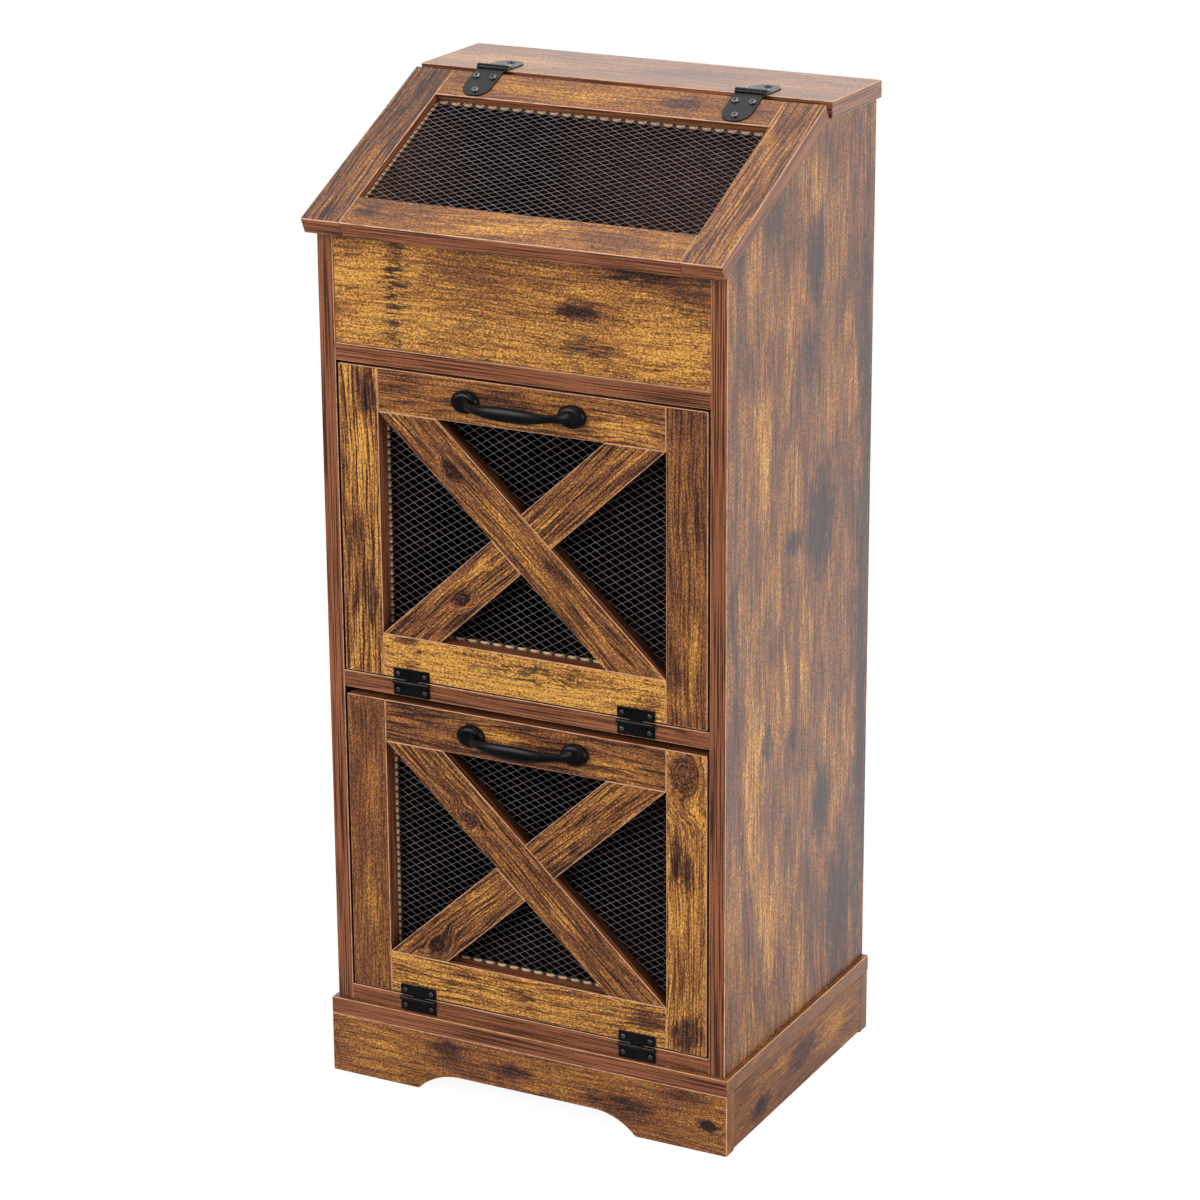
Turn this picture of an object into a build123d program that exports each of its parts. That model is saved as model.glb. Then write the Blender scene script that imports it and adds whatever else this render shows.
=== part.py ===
from build123d import *
import math
import os

# A free-standing potato storage bin: a board carcass on a plinth, two drop-front doors
# with mesh windows, and a sloping mesh lid over the top bin.
# X is across the front, +Y is towards the back, Z is up from the floor. Everything is
# placed from the carcass's front plane, and moved at the end to centre it over its base.

# ---- Driving dimensions, in millimetres ----

# Boards and carcass
board = 15.0
arris = 0.6  # broken edge on every board
carcass_width = 381.0
carcass_depth = 290.0
top_board_depth = 102.0
top_board_side_overhang = 4.5
top_bin_front_height = 101.0  # from the upper shelf to the sides' front corners
front_panel_recess = 1.0
back_panel_thickness = 3.0
back_panel_setback = 8.0  # from the back edges of the sides
groove_depth = 5.0
groove_clearance = 0.1

# Plinth
plinth_board_height = 56.0
plinth_side_overhang = 4.5
plinth_front_overhang = 4.5
plinth_back_overhang = 3.0
plinth_back_board_recess = 1.5
plinth_side_lift = 2.0
cutout_half_width = 107.5
cutout_flat_half_width = 66.0
cutout_height = 18.0

# Doors
door_height = 273.5
door_side_gap = 2.25
door_bottom_gap = 1.2
lower_door_top_gap = 6.3
upper_door_top_gap = 2.3
stile_width = 38.0
rail_width = 38.0
brace_width = 38.0
mesh_thickness = 1.0
mesh_overlap = 12.0

# Lid
lid_slope = 25.25  # degrees
lid_front_overhang = 19.5
lid_side_overhang = 3.5
lid_back_gap = 3.6
lid_mesh_depth = 7.5  # from the lid's top face down to the mesh, in its rebate
lid_mesh_overlap = 7.0
rebate_clearance = 0.3  # round the mesh
lid_gap = 0.3  # between the lid and the edges it closes on
lid_stile_width = 37.0
lid_front_rail_width = 36.5
lid_back_rail_width = 35.5
side_knee_setback = 3.5  # from the top board's front edge to the top of the slope

# Door hinges
door_hinge_width = 35.0
door_hinge_inset = 10.0  # from the stile joint to the hinge's outer edge
door_hinge_drop = 1.8  # from the shelf's top face down to the pin
door_hinge_edge_margin = 1.0  # from the shelf leaf down to the shelf's lower edge
door_knuckle_radius = 2.0
door_knuckle_gap = 0.3  # from the door's face out to the knuckles
door_pin_radius = 1.0
door_hinge_screw_margin = 4.5  # from a leaf's end to a screw

# Lid hinges
lid_hinge_width = 27.0
lid_hinge_inset = 68.0  # from the carcass's side to the hinge's centre
lid_hinge_tip_margin = 1.2  # from a leaf's rounded tip to the back rail's inner edge
lid_pin_above = 2.6  # from the top board's top face up to the pin
lid_knuckle_radius = 3.0
lid_knuckle_gap = 1.0  # from the top board's front edge out to the knuckles
lid_pin_radius = 1.4
lid_hinge_screw_margin = 5.5  # from a leaf's edge to a screw
lid_hinge_screw_reach = 14.5  # from the pin to the pair of screws
lid_hinge_tip_inset = 7.5  # from the tip to the third screw

# Hinge leaves and pins
leaf_thickness = 1.2
leaf_notch = 0.4  # from a knuckle out to the other leaf's plate
knuckle_gap = 0.2
leaf_tongue_overlap = 0.5  # of a knuckle's tongue into the plate
pin_clearance = 0.05

# Handles
handle_centres = 96.0
handle_end = 15.0  # from a screw out to the end of the foot
handle_reach = 25.0
handle_bar_height = 12.5
handle_bar_thickness = 7.0
handle_neck_height = 7.0
handle_neck_thickness = 6.0
handle_neck_inset = 11.7  # from a foot's centre in to the neck
handle_foot_height = 20.0
handle_foot_length = 26.0
handle_foot_thickness = 6.5
handle_foot_fillet = 4.5
handle_screw_radius = 2.0
handle_screw_head_radius = 3.6
handle_screw_head_height = 2.2
handle_screw_grip = 5.0  # of the screw inside the foot

# Catches
catch_magnet_width = 18.0
catch_wall = 3.0  # beside the magnet
catch_ear = 8.0  # beyond the body, for a screw
catch_depth = 14.0
catch_height = 18.0
catch_flange = 3.0
catch_magnet_height = 10.0
catch_magnet_depth = 9.8
catch_air_gap = 0.4
strike_width = 30.0
strike_height = 14.0
strike_thickness = 1.0
strike_top_inset = 2.0

# Screws, dowels and cam fittings
small_head_radius = 2.2
small_head_height = 1.3
small_shank_radius = 1.1
large_head_radius = 3.3
large_head_height = 1.6
large_shank_radius = 1.6
wood_screw_length = 11.0
plinth_screw_head_radius = 3.8
plinth_screw_radius = 1.9
plinth_screw_length = 42.0
foot_screw_margin = 4.0  # from its tip to the shelf's top face
screw_clearance = 0.05
dowel_radius = 3.0
dowel_in_panel = 10.0
dowel_in_end = 14.0
cam_radius = 7.4
cam_bolt_radius = 2.5
cam_bolt_head_radius = 3.4
cam_distance = 24.0  # from the board's end to the cam's centre
cam_bolt_in_panel = 10.0
cam_bolt_head_length = 3.0
cam_bolt_head_clearance = 0.4
cam_past_middle = 4.5  # from the board's middle to the cam's inner end
cam_slot_depth = 2.0
fitting_clearance = 0.05

# Where fittings stand, as shares of the way along a board
rail_dowel_shares = (0.3, 0.7)
plinth_dowel_shares = (0.3, 0.7)
plinth_side_screw_shares = (0.25, 0.75)
plinth_screw_shares = (-0.7, 0, 0.7)
foot_screw_width_shares = (-0.8, 0.8)
foot_screw_depth_shares = (0.15, 0.8)
shelf_cam_shares = (0.15, 0.85)
cap_cam_shares = (0.2, 0.8)
front_panel_cam_share = 0.65
front_panel_dowel_share = 0.3

# ---- Places worked out from them ----

half_width = carcass_width / 2
inner_half_width = half_width - board
plinth_top = plinth_board_height + board
bottom_shelf_top = plinth_top + board
lower_opening_height = door_bottom_gap + door_height + lower_door_top_gap
upper_opening_height = door_bottom_gap + door_height + upper_door_top_gap
middle_shelf_top = bottom_shelf_top + lower_opening_height + board
upper_shelf_top = middle_shelf_top + upper_opening_height + board
top_board_front = carcass_depth - top_board_depth
back_panel_back = carcass_depth - back_panel_setback
back_panel_front = back_panel_back - back_panel_thickness
plinth_half_width = half_width + plinth_side_overhang
plinth_back = carcass_depth + plinth_back_overhang
shelf_heights = {
    "bottom_shelf": bottom_shelf_top,
    "middle_shelf": middle_shelf_top,
    "upper_shelf": upper_shelf_top,
}

door_half_width = inner_half_width - door_side_gap
stile_joint = door_half_width - stile_width
door_hinge_x = stile_joint - door_hinge_inset - door_hinge_width / 2
door_hinge_leaf = board - door_hinge_drop - door_hinge_edge_margin  # from the pin
door_pin_proud = door_knuckle_radius + door_knuckle_gap

handle_foot_x = handle_centres / 2 + handle_end - handle_foot_length / 2
handle_neck_x = handle_foot_x - handle_neck_inset
handle_bar_y = handle_bar_thickness / 2 - handle_reach

slope = math.radians(lid_slope)
knee_y = top_board_front - side_knee_setback
side_front_height = upper_shelf_top + top_bin_front_height
top_board_under = side_front_height + knee_y * math.tan(slope)
overall_height = top_board_under + board
lid_half_width = half_width + lid_side_overhang
lid_back_y = top_board_front - lid_back_gap - board * math.sin(slope)  # of its top edge
lid_length = (lid_back_y + lid_front_overhang) / math.cos(slope)
lid_rebate_width = lid_mesh_overlap + rebate_clearance
lid_top_offset = (board + lid_gap) / math.cos(slope)  # upright, from the sides' slope
lid_front_z = side_front_height - lid_front_overhang * math.tan(slope) + lid_top_offset
lid_hinge_x = half_width - lid_hinge_inset
lid_pin_y = top_board_front - lid_knuckle_radius - lid_knuckle_gap
lid_pin_z = overall_height + lid_pin_above
lid_back_z = lid_front_z + lid_length * math.sin(slope)
pin_behind_rail = (lid_pin_y - lid_back_y) * math.cos(slope) + (lid_pin_z - lid_back_z) * math.sin(slope)
pin_above_rail = (lid_pin_z - lid_back_z) * math.cos(slope) - (lid_pin_y - lid_back_y) * math.sin(slope)
lid_hinge_leaf = pin_behind_rail + lid_back_rail_width - lid_hinge_tip_margin  # from the pin

# The middle of the whole depth, which becomes the origin
origin_y = (plinth_back - max(handle_reach, lid_front_overhang)) / 2

# The lid is drawn flat: X across, Y up its slope from the front edge, Z out of its top face
lid_place = Location((0, -lid_front_overhang, lid_front_z), (lid_slope, 0, 0))

parts = {}  # node name to a solid, or a list of like solids
cuts = {}  # node name to the holes and grooves to take out of it


# ---- Helpers ----


def block(low, high):
    """A plain block from its low corner to its high corner."""
    size = [top - bottom for bottom, top in zip(low, high)]
    centre = [(top + bottom) / 2 for bottom, top in zip(low, high)]
    return Pos(*centre) * Box(*size)


def broken(shape):
    """The shape with every edge broken, as on an edge-banded board."""
    return chamfer(shape.edges(), arris)


def prism(points, direction, length):
    """A straight-sided board cut to an outline."""
    return extrude(make_face(Polyline(*points, close=True)), length, dir=direction)


def rod(start, direction, radius, length):
    """A round rod that starts at a point and runs along a direction."""
    return Plane(start, z_dir=direction).location * Cylinder(
        radius, length, align=(Align.CENTER, Align.CENTER, Align.MIN)
    )


def cut(node, tool):
    """Notes a hole or groove to take out of a node when it is saved."""
    cuts.setdefault(node, []).append(tool)


def add(node, solid):
    """Adds one more solid to a node that is a group of like pieces."""
    parts.setdefault(node, []).append(solid)


def cross_recess(radius, depth):
    """A screwdriver's cross, cut down from z = 0."""
    arm = Pos(0, 0, -depth / 2) * Box(radius * 1.1, radius * 0.3, depth)
    return arm + Rot(0, 0, 90) * arm


def screw_shank(radius, length):
    """A shank below z = 0 that ends in a point."""
    point = radius * 2
    straight = Pos(0, 0, -(length - point) / 2) * Cylinder(radius, length - point)
    tip = Pos(0, 0, point / 2 - length) * Cone(radius * 0.1, radius, point)
    return straight + tip


def pan_head_screw(head_radius, head_height, shank_radius, length):
    """A domed screw that bears on z = 0."""
    head = Pos(0, 0, head_height / 2) * Cylinder(head_radius, head_height)
    head = fillet(head.edges().group_by(Axis.Z)[-1], head_height * 0.7)
    head -= Pos(0, 0, head_height) * cross_recess(head_radius, head_height * 0.6)
    return head + screw_shank(shank_radius, length)


def flat_head_screw(head_radius, head_height, shank_radius, length):
    """A countersunk screw, flush with z = 0."""
    head = Pos(0, 0, -head_height / 2) * Cone(shank_radius, head_radius, head_height)
    return head + screw_shank(shank_radius, length) - cross_recess(head_radius, head_height * 0.6)


def countersink(head_radius, head_height, shank_radius, length):
    """The hole that a flat-head screw leaves round itself."""
    head = Pos(0, 0, -head_height / 2) * Cone(
        shank_radius + screw_clearance, head_radius + screw_clearance, head_height
    )
    return head + rod((0, 0, 0), (0, 0, -1), shank_radius + screw_clearance, length)


def pan_screw_and_hole(sizes, length):
    """A pan-head screw that bears on z = 0, and the hole that it needs below its head."""
    shank_radius = sizes[2]
    hole = rod((0, 0, 0), (0, 0, -1), shank_radius + screw_clearance, length + screw_clearance)
    return pan_head_screw(*sizes, length), hole


# Each kind of screw's head radius, head height and shank radius
small_screw = (small_head_radius, small_head_height, small_shank_radius)
large_screw = (large_head_radius, large_head_height, large_shank_radius)
handle_screw = (handle_screw_head_radius, handle_screw_head_height, handle_screw_radius)
strike_screw = (small_head_radius, strike_thickness, small_shank_radius)
plinth_screw = (plinth_screw_head_radius, plinth_screw_head_radius - plinth_screw_radius, plinth_screw_radius)
foot_screw_length = 2 * board - foot_screw_margin


# ---- Hidden joints between boards ----


def dowel_joint(group, at, inwards, panel, ended):
    """A dowel from a panel's face into another board's end."""
    start = Vector(*at) - Vector(*inwards) * dowel_in_panel
    length = dowel_in_panel + dowel_in_end
    hole = rod(start, inwards, dowel_radius + fitting_clearance, length)
    add(group, rod(start, inwards, dowel_radius, length))
    cut(panel, hole)
    cut(ended, hole)


def cam_joint(at, inwards, cam_side, panel, ended):
    """A bolt in a panel's face, drawn tight by a cam let into the other board."""
    place = Plane(at, x_dir=cam_side, z_dir=inwards).location
    cam_height = board / 2 + cam_past_middle
    bolt = Pos(0, 0, -cam_bolt_in_panel) * Cylinder(
        cam_bolt_radius, cam_bolt_in_panel + cam_distance, align=(Align.CENTER, Align.CENTER, Align.MIN)
    )
    bolt += Pos(0, 0, cam_distance - cam_bolt_head_length / 2) * Cylinder(
        cam_bolt_head_radius - cam_bolt_head_clearance, cam_bolt_head_length
    )
    cam_at = Pos(board / 2 - cam_height / 2, 0, cam_distance) * Rot(0, 90, 0)
    cam = cam_at * Cylinder(cam_radius, cam_height)
    bolt_way_length = cam_distance + cam_bolt_head_clearance
    bolt_way = rod((0, 0, 0), (0, 0, 1), cam_bolt_head_radius, bolt_way_length)
    slot = cam_at * Pos(0, 0, cam_height / 2) * cross_recess(cam_radius, cam_slot_depth)
    add("carcass_cam_bolts", place * bolt)
    add("carcass_cams", place * (cam - bolt_way - slot))
    cut(ended, place * (bolt_way + cam_at * Cylinder(cam_radius + fitting_clearance, cam_height)))
    thread_hole = rod(
        (0, 0, -cam_bolt_in_panel), (0, 0, 1), cam_bolt_radius + fitting_clearance, cam_bolt_in_panel
    )
    cut(panel, place * thread_hole)


# ---- Plinth ----


def make_plinth():
    front = -plinth_front_overhang
    back_board_back = plinth_back - plinth_back_board_recess
    parts["plinth_plate"] = broken(
        block((-plinth_half_width, front, plinth_board_height), (plinth_half_width, plinth_back, plinth_top))
    )
    parts["plinth_front"] = plinth_front_board(front)
    parts["plinth_back"] = broken(
        block(
            (-plinth_half_width, back_board_back - board, 0),
            (plinth_half_width, back_board_back, plinth_board_height),
        )
    )
    side_front = front + board
    side_back = back_board_back - board
    for name, side in (("left", -1), ("right", 1)):
        faces = sorted((side * plinth_half_width, side * (plinth_half_width - board)))
        node = "plinth_side_" + name
        parts[node] = broken(
            block((faces[0], side_front, plinth_side_lift), (faces[1], side_back, plinth_board_height))
        )
        middle_x = side * (plinth_half_width - board / 2)
        for share in plinth_dowel_shares:
            height = plinth_board_height * share
            dowel_joint("dowels", (middle_x, side_front, height), (0, 1, 0), "plinth_front", node)
            dowel_joint("dowels", (middle_x, side_back, height), (0, -1, 0), "plinth_back", node)
        for share in plinth_side_screw_shares:
            at = (middle_x, side_front + share * (side_back - side_front), plinth_top)
            drive_plinth_screw(at, node)
    behind_panel = (back_panel_back + back_board_back) / 2
    for share in plinth_screw_shares:
        x = plinth_half_width * share
        drive_plinth_screw((x, front + board / 2, plinth_top), "plinth_front")
        drive_plinth_screw((x, behind_panel, plinth_top), "plinth_back")
    for across in foot_screw_width_shares:
        for back in foot_screw_depth_shares:
            drive_foot_screw((inner_half_width * across, carcass_depth * back, plinth_board_height))


def plinth_front_board(front):
    """The front board, with a flat arch between its two feet."""
    run = cutout_half_width - cutout_flat_half_width
    radius = (run**2 + cutout_height**2) / (2 * cutout_height)
    half_turn = math.asin(run / radius) / 2
    middle_x = cutout_flat_half_width + radius * math.sin(half_turn)
    middle_z = cutout_height - radius * (1 - math.cos(half_turn))
    right = (cutout_half_width, front, 0)
    left = (-cutout_half_width, front, 0)
    right_end = (cutout_flat_half_width, front, cutout_height)
    left_end = (-cutout_flat_half_width, front, cutout_height)
    outline = [
        Line(left, (-plinth_half_width, front, 0)),
        Line((-plinth_half_width, front, 0), (-plinth_half_width, front, plinth_board_height)),
        Line(
            (-plinth_half_width, front, plinth_board_height),
            (plinth_half_width, front, plinth_board_height),
        ),
        Line((plinth_half_width, front, plinth_board_height), (plinth_half_width, front, 0)),
        Line((plinth_half_width, front, 0), right),
        ThreePointArc(right, (middle_x, front, middle_z), right_end),
        Line(right_end, left_end),
        ThreePointArc(left_end, (-middle_x, front, middle_z), left),
    ]
    return broken(extrude(make_face(outline), board, dir=(0, 1, 0)))


def drive_plinth_screw(at, into):
    """A countersunk screw down through the plate into a plinth board."""
    place = Pos(*at)
    add("plinth_screws", place * flat_head_screw(*plinth_screw, plinth_screw_length))
    hole = place * countersink(*plinth_screw, plinth_screw_length)
    cut("plinth_plate", hole)
    cut(into, hole)


def drive_foot_screw(at):
    """A countersunk screw up through the plate into the bottom shelf."""
    place = Pos(*at) * Rot(180, 0, 0)
    add("plinth_screws", place * flat_head_screw(*plinth_screw, foot_screw_length))
    hole = place * countersink(*plinth_screw, foot_screw_length)
    cut("plinth_plate", hole)
    cut("bottom_shelf", hole)


# ---- Carcass ----


def make_carcass():
    for name, side in (("left", -1), ("right", 1)):
        outer = side * half_width
        outline = [
            (outer, 0, plinth_top),
            (outer, carcass_depth, plinth_top),
            (outer, carcass_depth, top_board_under),
            (outer, knee_y, top_board_under),
            (outer, 0, side_front_height),
        ]
        parts["side_" + name] = broken(prism(outline, (-side, 0, 0), board))
    for node, top in shelf_heights.items():
        parts[node] = broken(
            block((-inner_half_width, 0, top - board), (inner_half_width, back_panel_front, top))
        )
    top_half_width = half_width + top_board_side_overhang
    parts["top_board"] = broken(
        block(
            (-top_half_width, top_board_front, top_board_under),
            (top_half_width, carcass_depth, overall_height),
        )
    )
    panel_top = side_front_height + front_panel_recess * math.tan(slope)
    parts["front_panel"] = broken(
        block(
            (-inner_half_width, front_panel_recess, upper_shelf_top),
            (inner_half_width, front_panel_recess + board, panel_top),
        )
    )
    make_back_panel()
    join_carcass(panel_top)


def make_back_panel():
    """The thin back, let into grooves in the boards round it."""
    low = (-inner_half_width - groove_depth, back_panel_front, plinth_top - groove_depth)
    high = (inner_half_width + groove_depth, back_panel_back, top_board_under + groove_depth)
    parts["back_panel"] = block(low, high)
    spare = groove_clearance
    groove = block([value - spare for value in low], [value + spare for value in high])
    for node in ("side_left", "side_right", "top_board", "plinth_plate"):
        cut(node, groove)


def join_carcass(panel_top):
    """Cam fittings and dowels between the boards."""
    for name, side in (("left", -1), ("right", 1)):
        panel = "side_" + name
        inwards = (-side, 0, 0)
        inner = side * inner_half_width
        for node, top in shelf_heights.items():
            height = top - board / 2
            for share in shelf_cam_shares:
                cam_joint((inner, back_panel_front * share, height), inwards, (0, 0, -1), panel, node)
            dowel_joint("dowels", (inner, back_panel_front / 2, height), inwards, panel, node)
        middle = side * (half_width - board / 2)
        cap_depth = back_panel_front - top_board_front
        for share in cap_cam_shares:
            at = (middle, top_board_front + cap_depth * share, top_board_under)
            cam_joint(at, (0, 0, -1), inwards, "top_board", panel)
        at = (middle, top_board_front + cap_depth / 2, top_board_under)
        dowel_joint("dowels", at, (0, 0, -1), "top_board", panel)
        depth = front_panel_recess + board / 2
        panel_height = panel_top - upper_shelf_top
        at = (inner, depth, upper_shelf_top + panel_height * front_panel_cam_share)
        cam_joint(at, inwards, (0, 1, 0), panel, "front_panel")
        at = (inner, depth, upper_shelf_top + panel_height * front_panel_dowel_share)
        dowel_joint("dowels", at, inwards, panel, "front_panel")


# ---- Hinges ----


def knuckle_spans(width):
    """Where, across the hinge, the two outer knuckles and the middle one start and end."""
    third = width / 3
    edge = knuckle_gap / 2
    outer = [(-width / 2, -third / 2 - edge), (third / 2 + edge, width / 2)]
    return outer, [(-third / 2 + edge, third / 2 - edge)]


def hinge_leaf(plate, spans, knuckle_radius, pin_radius):
    """A plate with knuckles round X, the plate being on the +Y side of the pin."""
    box = plate.bounding_box()
    leaf = plate
    for start, end in spans:
        tongue = block(
            (start, knuckle_radius / 4, box.min.Z), (end, box.min.Y + leaf_tongue_overlap, box.max.Z)
        )
        barrel = rod((start, 0, 0), (1, 0, 0), knuckle_radius, end - start)
        leaf = leaf + tongue + barrel
    return leaf - rod((box.min.X, 0, 0), (1, 0, 0), pin_radius + pin_clearance, box.size.X)


def hinge_pin(at, width, radius):
    """A pin through all the knuckles, with its ends eased."""
    pin = rod((at[0] - width / 2, at[1], at[2]), (1, 0, 0), radius, width)
    return chamfer(pin.edges(), radius * 0.25)


def fasten_leaf(leaf, group, place, screw_points, sizes, screw_group, board_node):
    """Screws a leaf down at each point of its outer face, and saves it in its group."""
    for point in screw_points:
        on_leaf = Pos(*point)
        screw, hole = pan_screw_and_hole(sizes, wood_screw_length)
        leaf -= on_leaf * hole
        add(screw_group, place * on_leaf * screw)
        cut(board_node, place * on_leaf * hole)
    add(group, place * leaf)


def door_hinge(door, x, shelf):
    """One surface hinge from a door's bottom rail to the shelf edge below it."""
    pin = (x, -door_pin_proud, shelf_heights[shelf] - door_hinge_drop)
    outer, middle = knuckle_spans(door_hinge_width)
    near = door_knuckle_radius + leaf_notch
    low = -door_pin_proud
    plate = block(
        (-door_hinge_width / 2, near, low),
        (door_hinge_width / 2, door_hinge_leaf, low + leaf_thickness),
    )
    reach = (near + door_hinge_leaf) / 2
    outer_face = low + leaf_thickness
    screw_x = door_hinge_width / 2 - door_hinge_screw_margin
    points = [(side * screw_x, reach, outer_face) for side in (-1, 1)]
    sides = (
        ((-1, 0, 0), outer, "door_hinge_shelf_leaves", "cabinet_screws", shelf),
        ((1, 0, 0), middle, door + "_hinge_leaves", door + "_screws", door + "_rail_bottom"),
    )
    for across, spans, group, screw_group, board_node in sides:
        place = Plane(pin, x_dir=across, z_dir=(0, -1, 0)).location
        leaf = hinge_leaf(plate, spans, door_knuckle_radius, door_pin_radius)
        fasten_leaf(leaf, group, place, points, small_screw, screw_group, board_node)
    add("hinge_pins", hinge_pin(pin, door_hinge_width, door_pin_radius))


def lid_hinge(x):
    """One round-ended hinge from the lid's back rail to the top board."""
    pin = (x, lid_pin_y, lid_pin_z)
    outer, middle = knuckle_spans(lid_hinge_width)
    up = (0, 0, 1)
    out_of_lid = (0, -math.sin(slope), math.cos(slope))
    sides = (
        (1, up, lid_pin_above, outer, "lid_hinge_top_leaves", "cabinet_screws", "top_board"),
        (-1, out_of_lid, pin_above_rail, middle, "lid_hinge_leaves", "lid_screws", "lid_rail_back"),
    )
    screw_x = lid_hinge_width / 2 - lid_hinge_screw_margin
    for across, outwards, pin_height, spans, group, screw_group, board_node in sides:
        place = Plane(pin, x_dir=(across, 0, 0), z_dir=outwards).location
        outer_face = leaf_thickness - pin_height
        points = [
            (-screw_x, lid_hinge_screw_reach, outer_face),
            (screw_x, lid_hinge_screw_reach, outer_face),
            (0, lid_hinge_leaf - lid_hinge_tip_inset, outer_face),
        ]
        leaf = hinge_leaf(round_ended_plate(-pin_height), spans, lid_knuckle_radius, lid_pin_radius)
        fasten_leaf(leaf, group, place, points, large_screw, screw_group, board_node)
    add("hinge_pins", hinge_pin(pin, lid_hinge_width, lid_pin_radius))


def round_ended_plate(low):
    """A lid hinge's plate, from its notched edge to its half-round tip."""
    radius = lid_hinge_width / 2
    near = lid_knuckle_radius + leaf_notch
    centre = lid_hinge_leaf - radius
    plate = block((-radius, near, low), (radius, centre, low + leaf_thickness))
    return plate + rod((0, centre, low), (0, 0, 1), radius, leaf_thickness)


# ---- Doors ----


def make_door(door, shelf, shelf_above):
    """A drop-front door, hinged on the edge of the shelf below it."""
    bottom = shelf_heights[shelf] + door_bottom_gap
    top = bottom + door_height
    opening_low = bottom + rail_width
    opening_high = top - rail_width
    for name, side in (("left", -1), ("right", 1)):
        edges = sorted((side * stile_joint, side * door_half_width))
        stile = door + "_stile_" + name
        parts[stile] = broken(block((edges[0], 0, bottom), (edges[1], board, top)))
        for rail, low in ((door + "_rail_bottom", bottom), (door + "_rail_top", opening_high)):
            for share in rail_dowel_shares:
                at = (side * stile_joint, board / 2, low + rail_width * share)
                dowel_joint(door + "_dowels", at, (-side, 0, 0), stile, rail)
        door_hinge(door, side * door_hinge_x, shelf)
    for rail, low in ((door + "_rail_bottom", bottom), (door + "_rail_top", opening_high)):
        parts[rail] = broken(block((-stile_joint, 0, low), (stile_joint, board, low + rail_width)))
    make_braces(door, opening_low, opening_high)
    parts[door + "_mesh"] = block(
        (-stile_joint - mesh_overlap, board, opening_low - mesh_overlap),
        (stile_joint + mesh_overlap, board + mesh_thickness, opening_high + mesh_overlap),
    )
    make_handle(door, opening_high + rail_width / 2)
    make_catch(door, top, shelf_above)


def make_braces(door, low, high):
    """One long brace, corner to corner, and two short ones that butt against it."""
    width = 2 * stile_joint
    height = high - low
    angle = math.atan2(height, width) + math.asin(brace_width / math.hypot(width, height))
    foot = brace_width / math.sin(angle)  # along the rail

    long_outline = [
        (stile_joint, 0, low),
        (stile_joint - foot, 0, low),
        (-stile_joint, 0, high),
        (-stile_joint + foot, 0, high),
    ]
    parts[door + "_brace_long"] = broken(prism(long_outline, (0, 1, 0), board))
    # A short brace's inner end lies along the long brace's edge
    reach = (stile_joint - foot) * math.tan(angle)
    for name, side, rail in (("bottom", -1, low), ("top", 1, high)):
        outline = [
            (side * stile_joint, 0, rail),
            (side * (stile_joint - foot), 0, rail),
            (0, 0, rail - side * reach),
            (side * foot / 2, 0, (low + high) / 2),
        ]
        parts[door + "_brace_short_" + name] = broken(prism(outline, (0, 1, 0), board))


def handle_path():
    """The bar's stations from foot to foot: across, out, height and thickness."""
    foot_out = -handle_foot_thickness
    half = [
        (handle_foot_x - 1.0, foot_out * 0.4, handle_foot_height * 0.62, handle_neck_thickness),
        (handle_foot_x - 5.0, foot_out * 1.4, handle_foot_height * 0.48, handle_neck_thickness),
        (handle_neck_x, handle_bar_y * 0.72, handle_neck_height, handle_neck_thickness),
        (handle_neck_x - 9.0, handle_bar_y * 0.9, handle_neck_height * 1.2, handle_neck_thickness),
        (handle_neck_x - 22.0, handle_bar_y * 0.98, handle_bar_height * 0.93, handle_bar_thickness),
    ]
    middle = (0, handle_bar_y, handle_bar_height, handle_bar_thickness)
    return half + [middle] + [(-x, y, tall, thick) for x, y, tall, thick in reversed(half)]


def make_handle(door, height):
    """An arched pull with two oval feet, and its screws from behind the rail."""
    place = Pos(0, 0, height)
    path = handle_path()
    sections = []
    for index, (x, y, tall, thick) in enumerate(path):
        before = path[max(index - 1, 0)]
        after = path[min(index + 1, len(path) - 1)]
        along = (after[0] - before[0], after[1] - before[1], 0)
        sections.append(Plane((x, y, 0), x_dir=(0, 0, 1), z_dir=along) * Ellipse(tall / 2, thick / 2))
    handle = loft(sections)
    for side in (-1, 1):
        foot = extrude(
            Plane((side * handle_foot_x, 0, 0), x_dir=(1, 0, 0), z_dir=(0, -1, 0))
            * Ellipse(handle_foot_length / 2, handle_foot_height / 2),
            handle_foot_thickness,
        )
        handle += fillet(foot.edges().group_by(Axis.Y)[0], handle_foot_fillet)
    screw, hole = pan_screw_and_hole(handle_screw, board + handle_screw_grip)
    for side in (-1, 1):
        at = (side * handle_centres / 2, board, 0)
        from_behind = Plane(at, z_dir=(0, 1, 0)).location
        handle -= from_behind * hole
        add(door + "_handle_screws", place * from_behind * screw)
        cut(door + "_rail_top", place * from_behind * hole)
    parts[door + "_handle"] = place * handle


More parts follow.
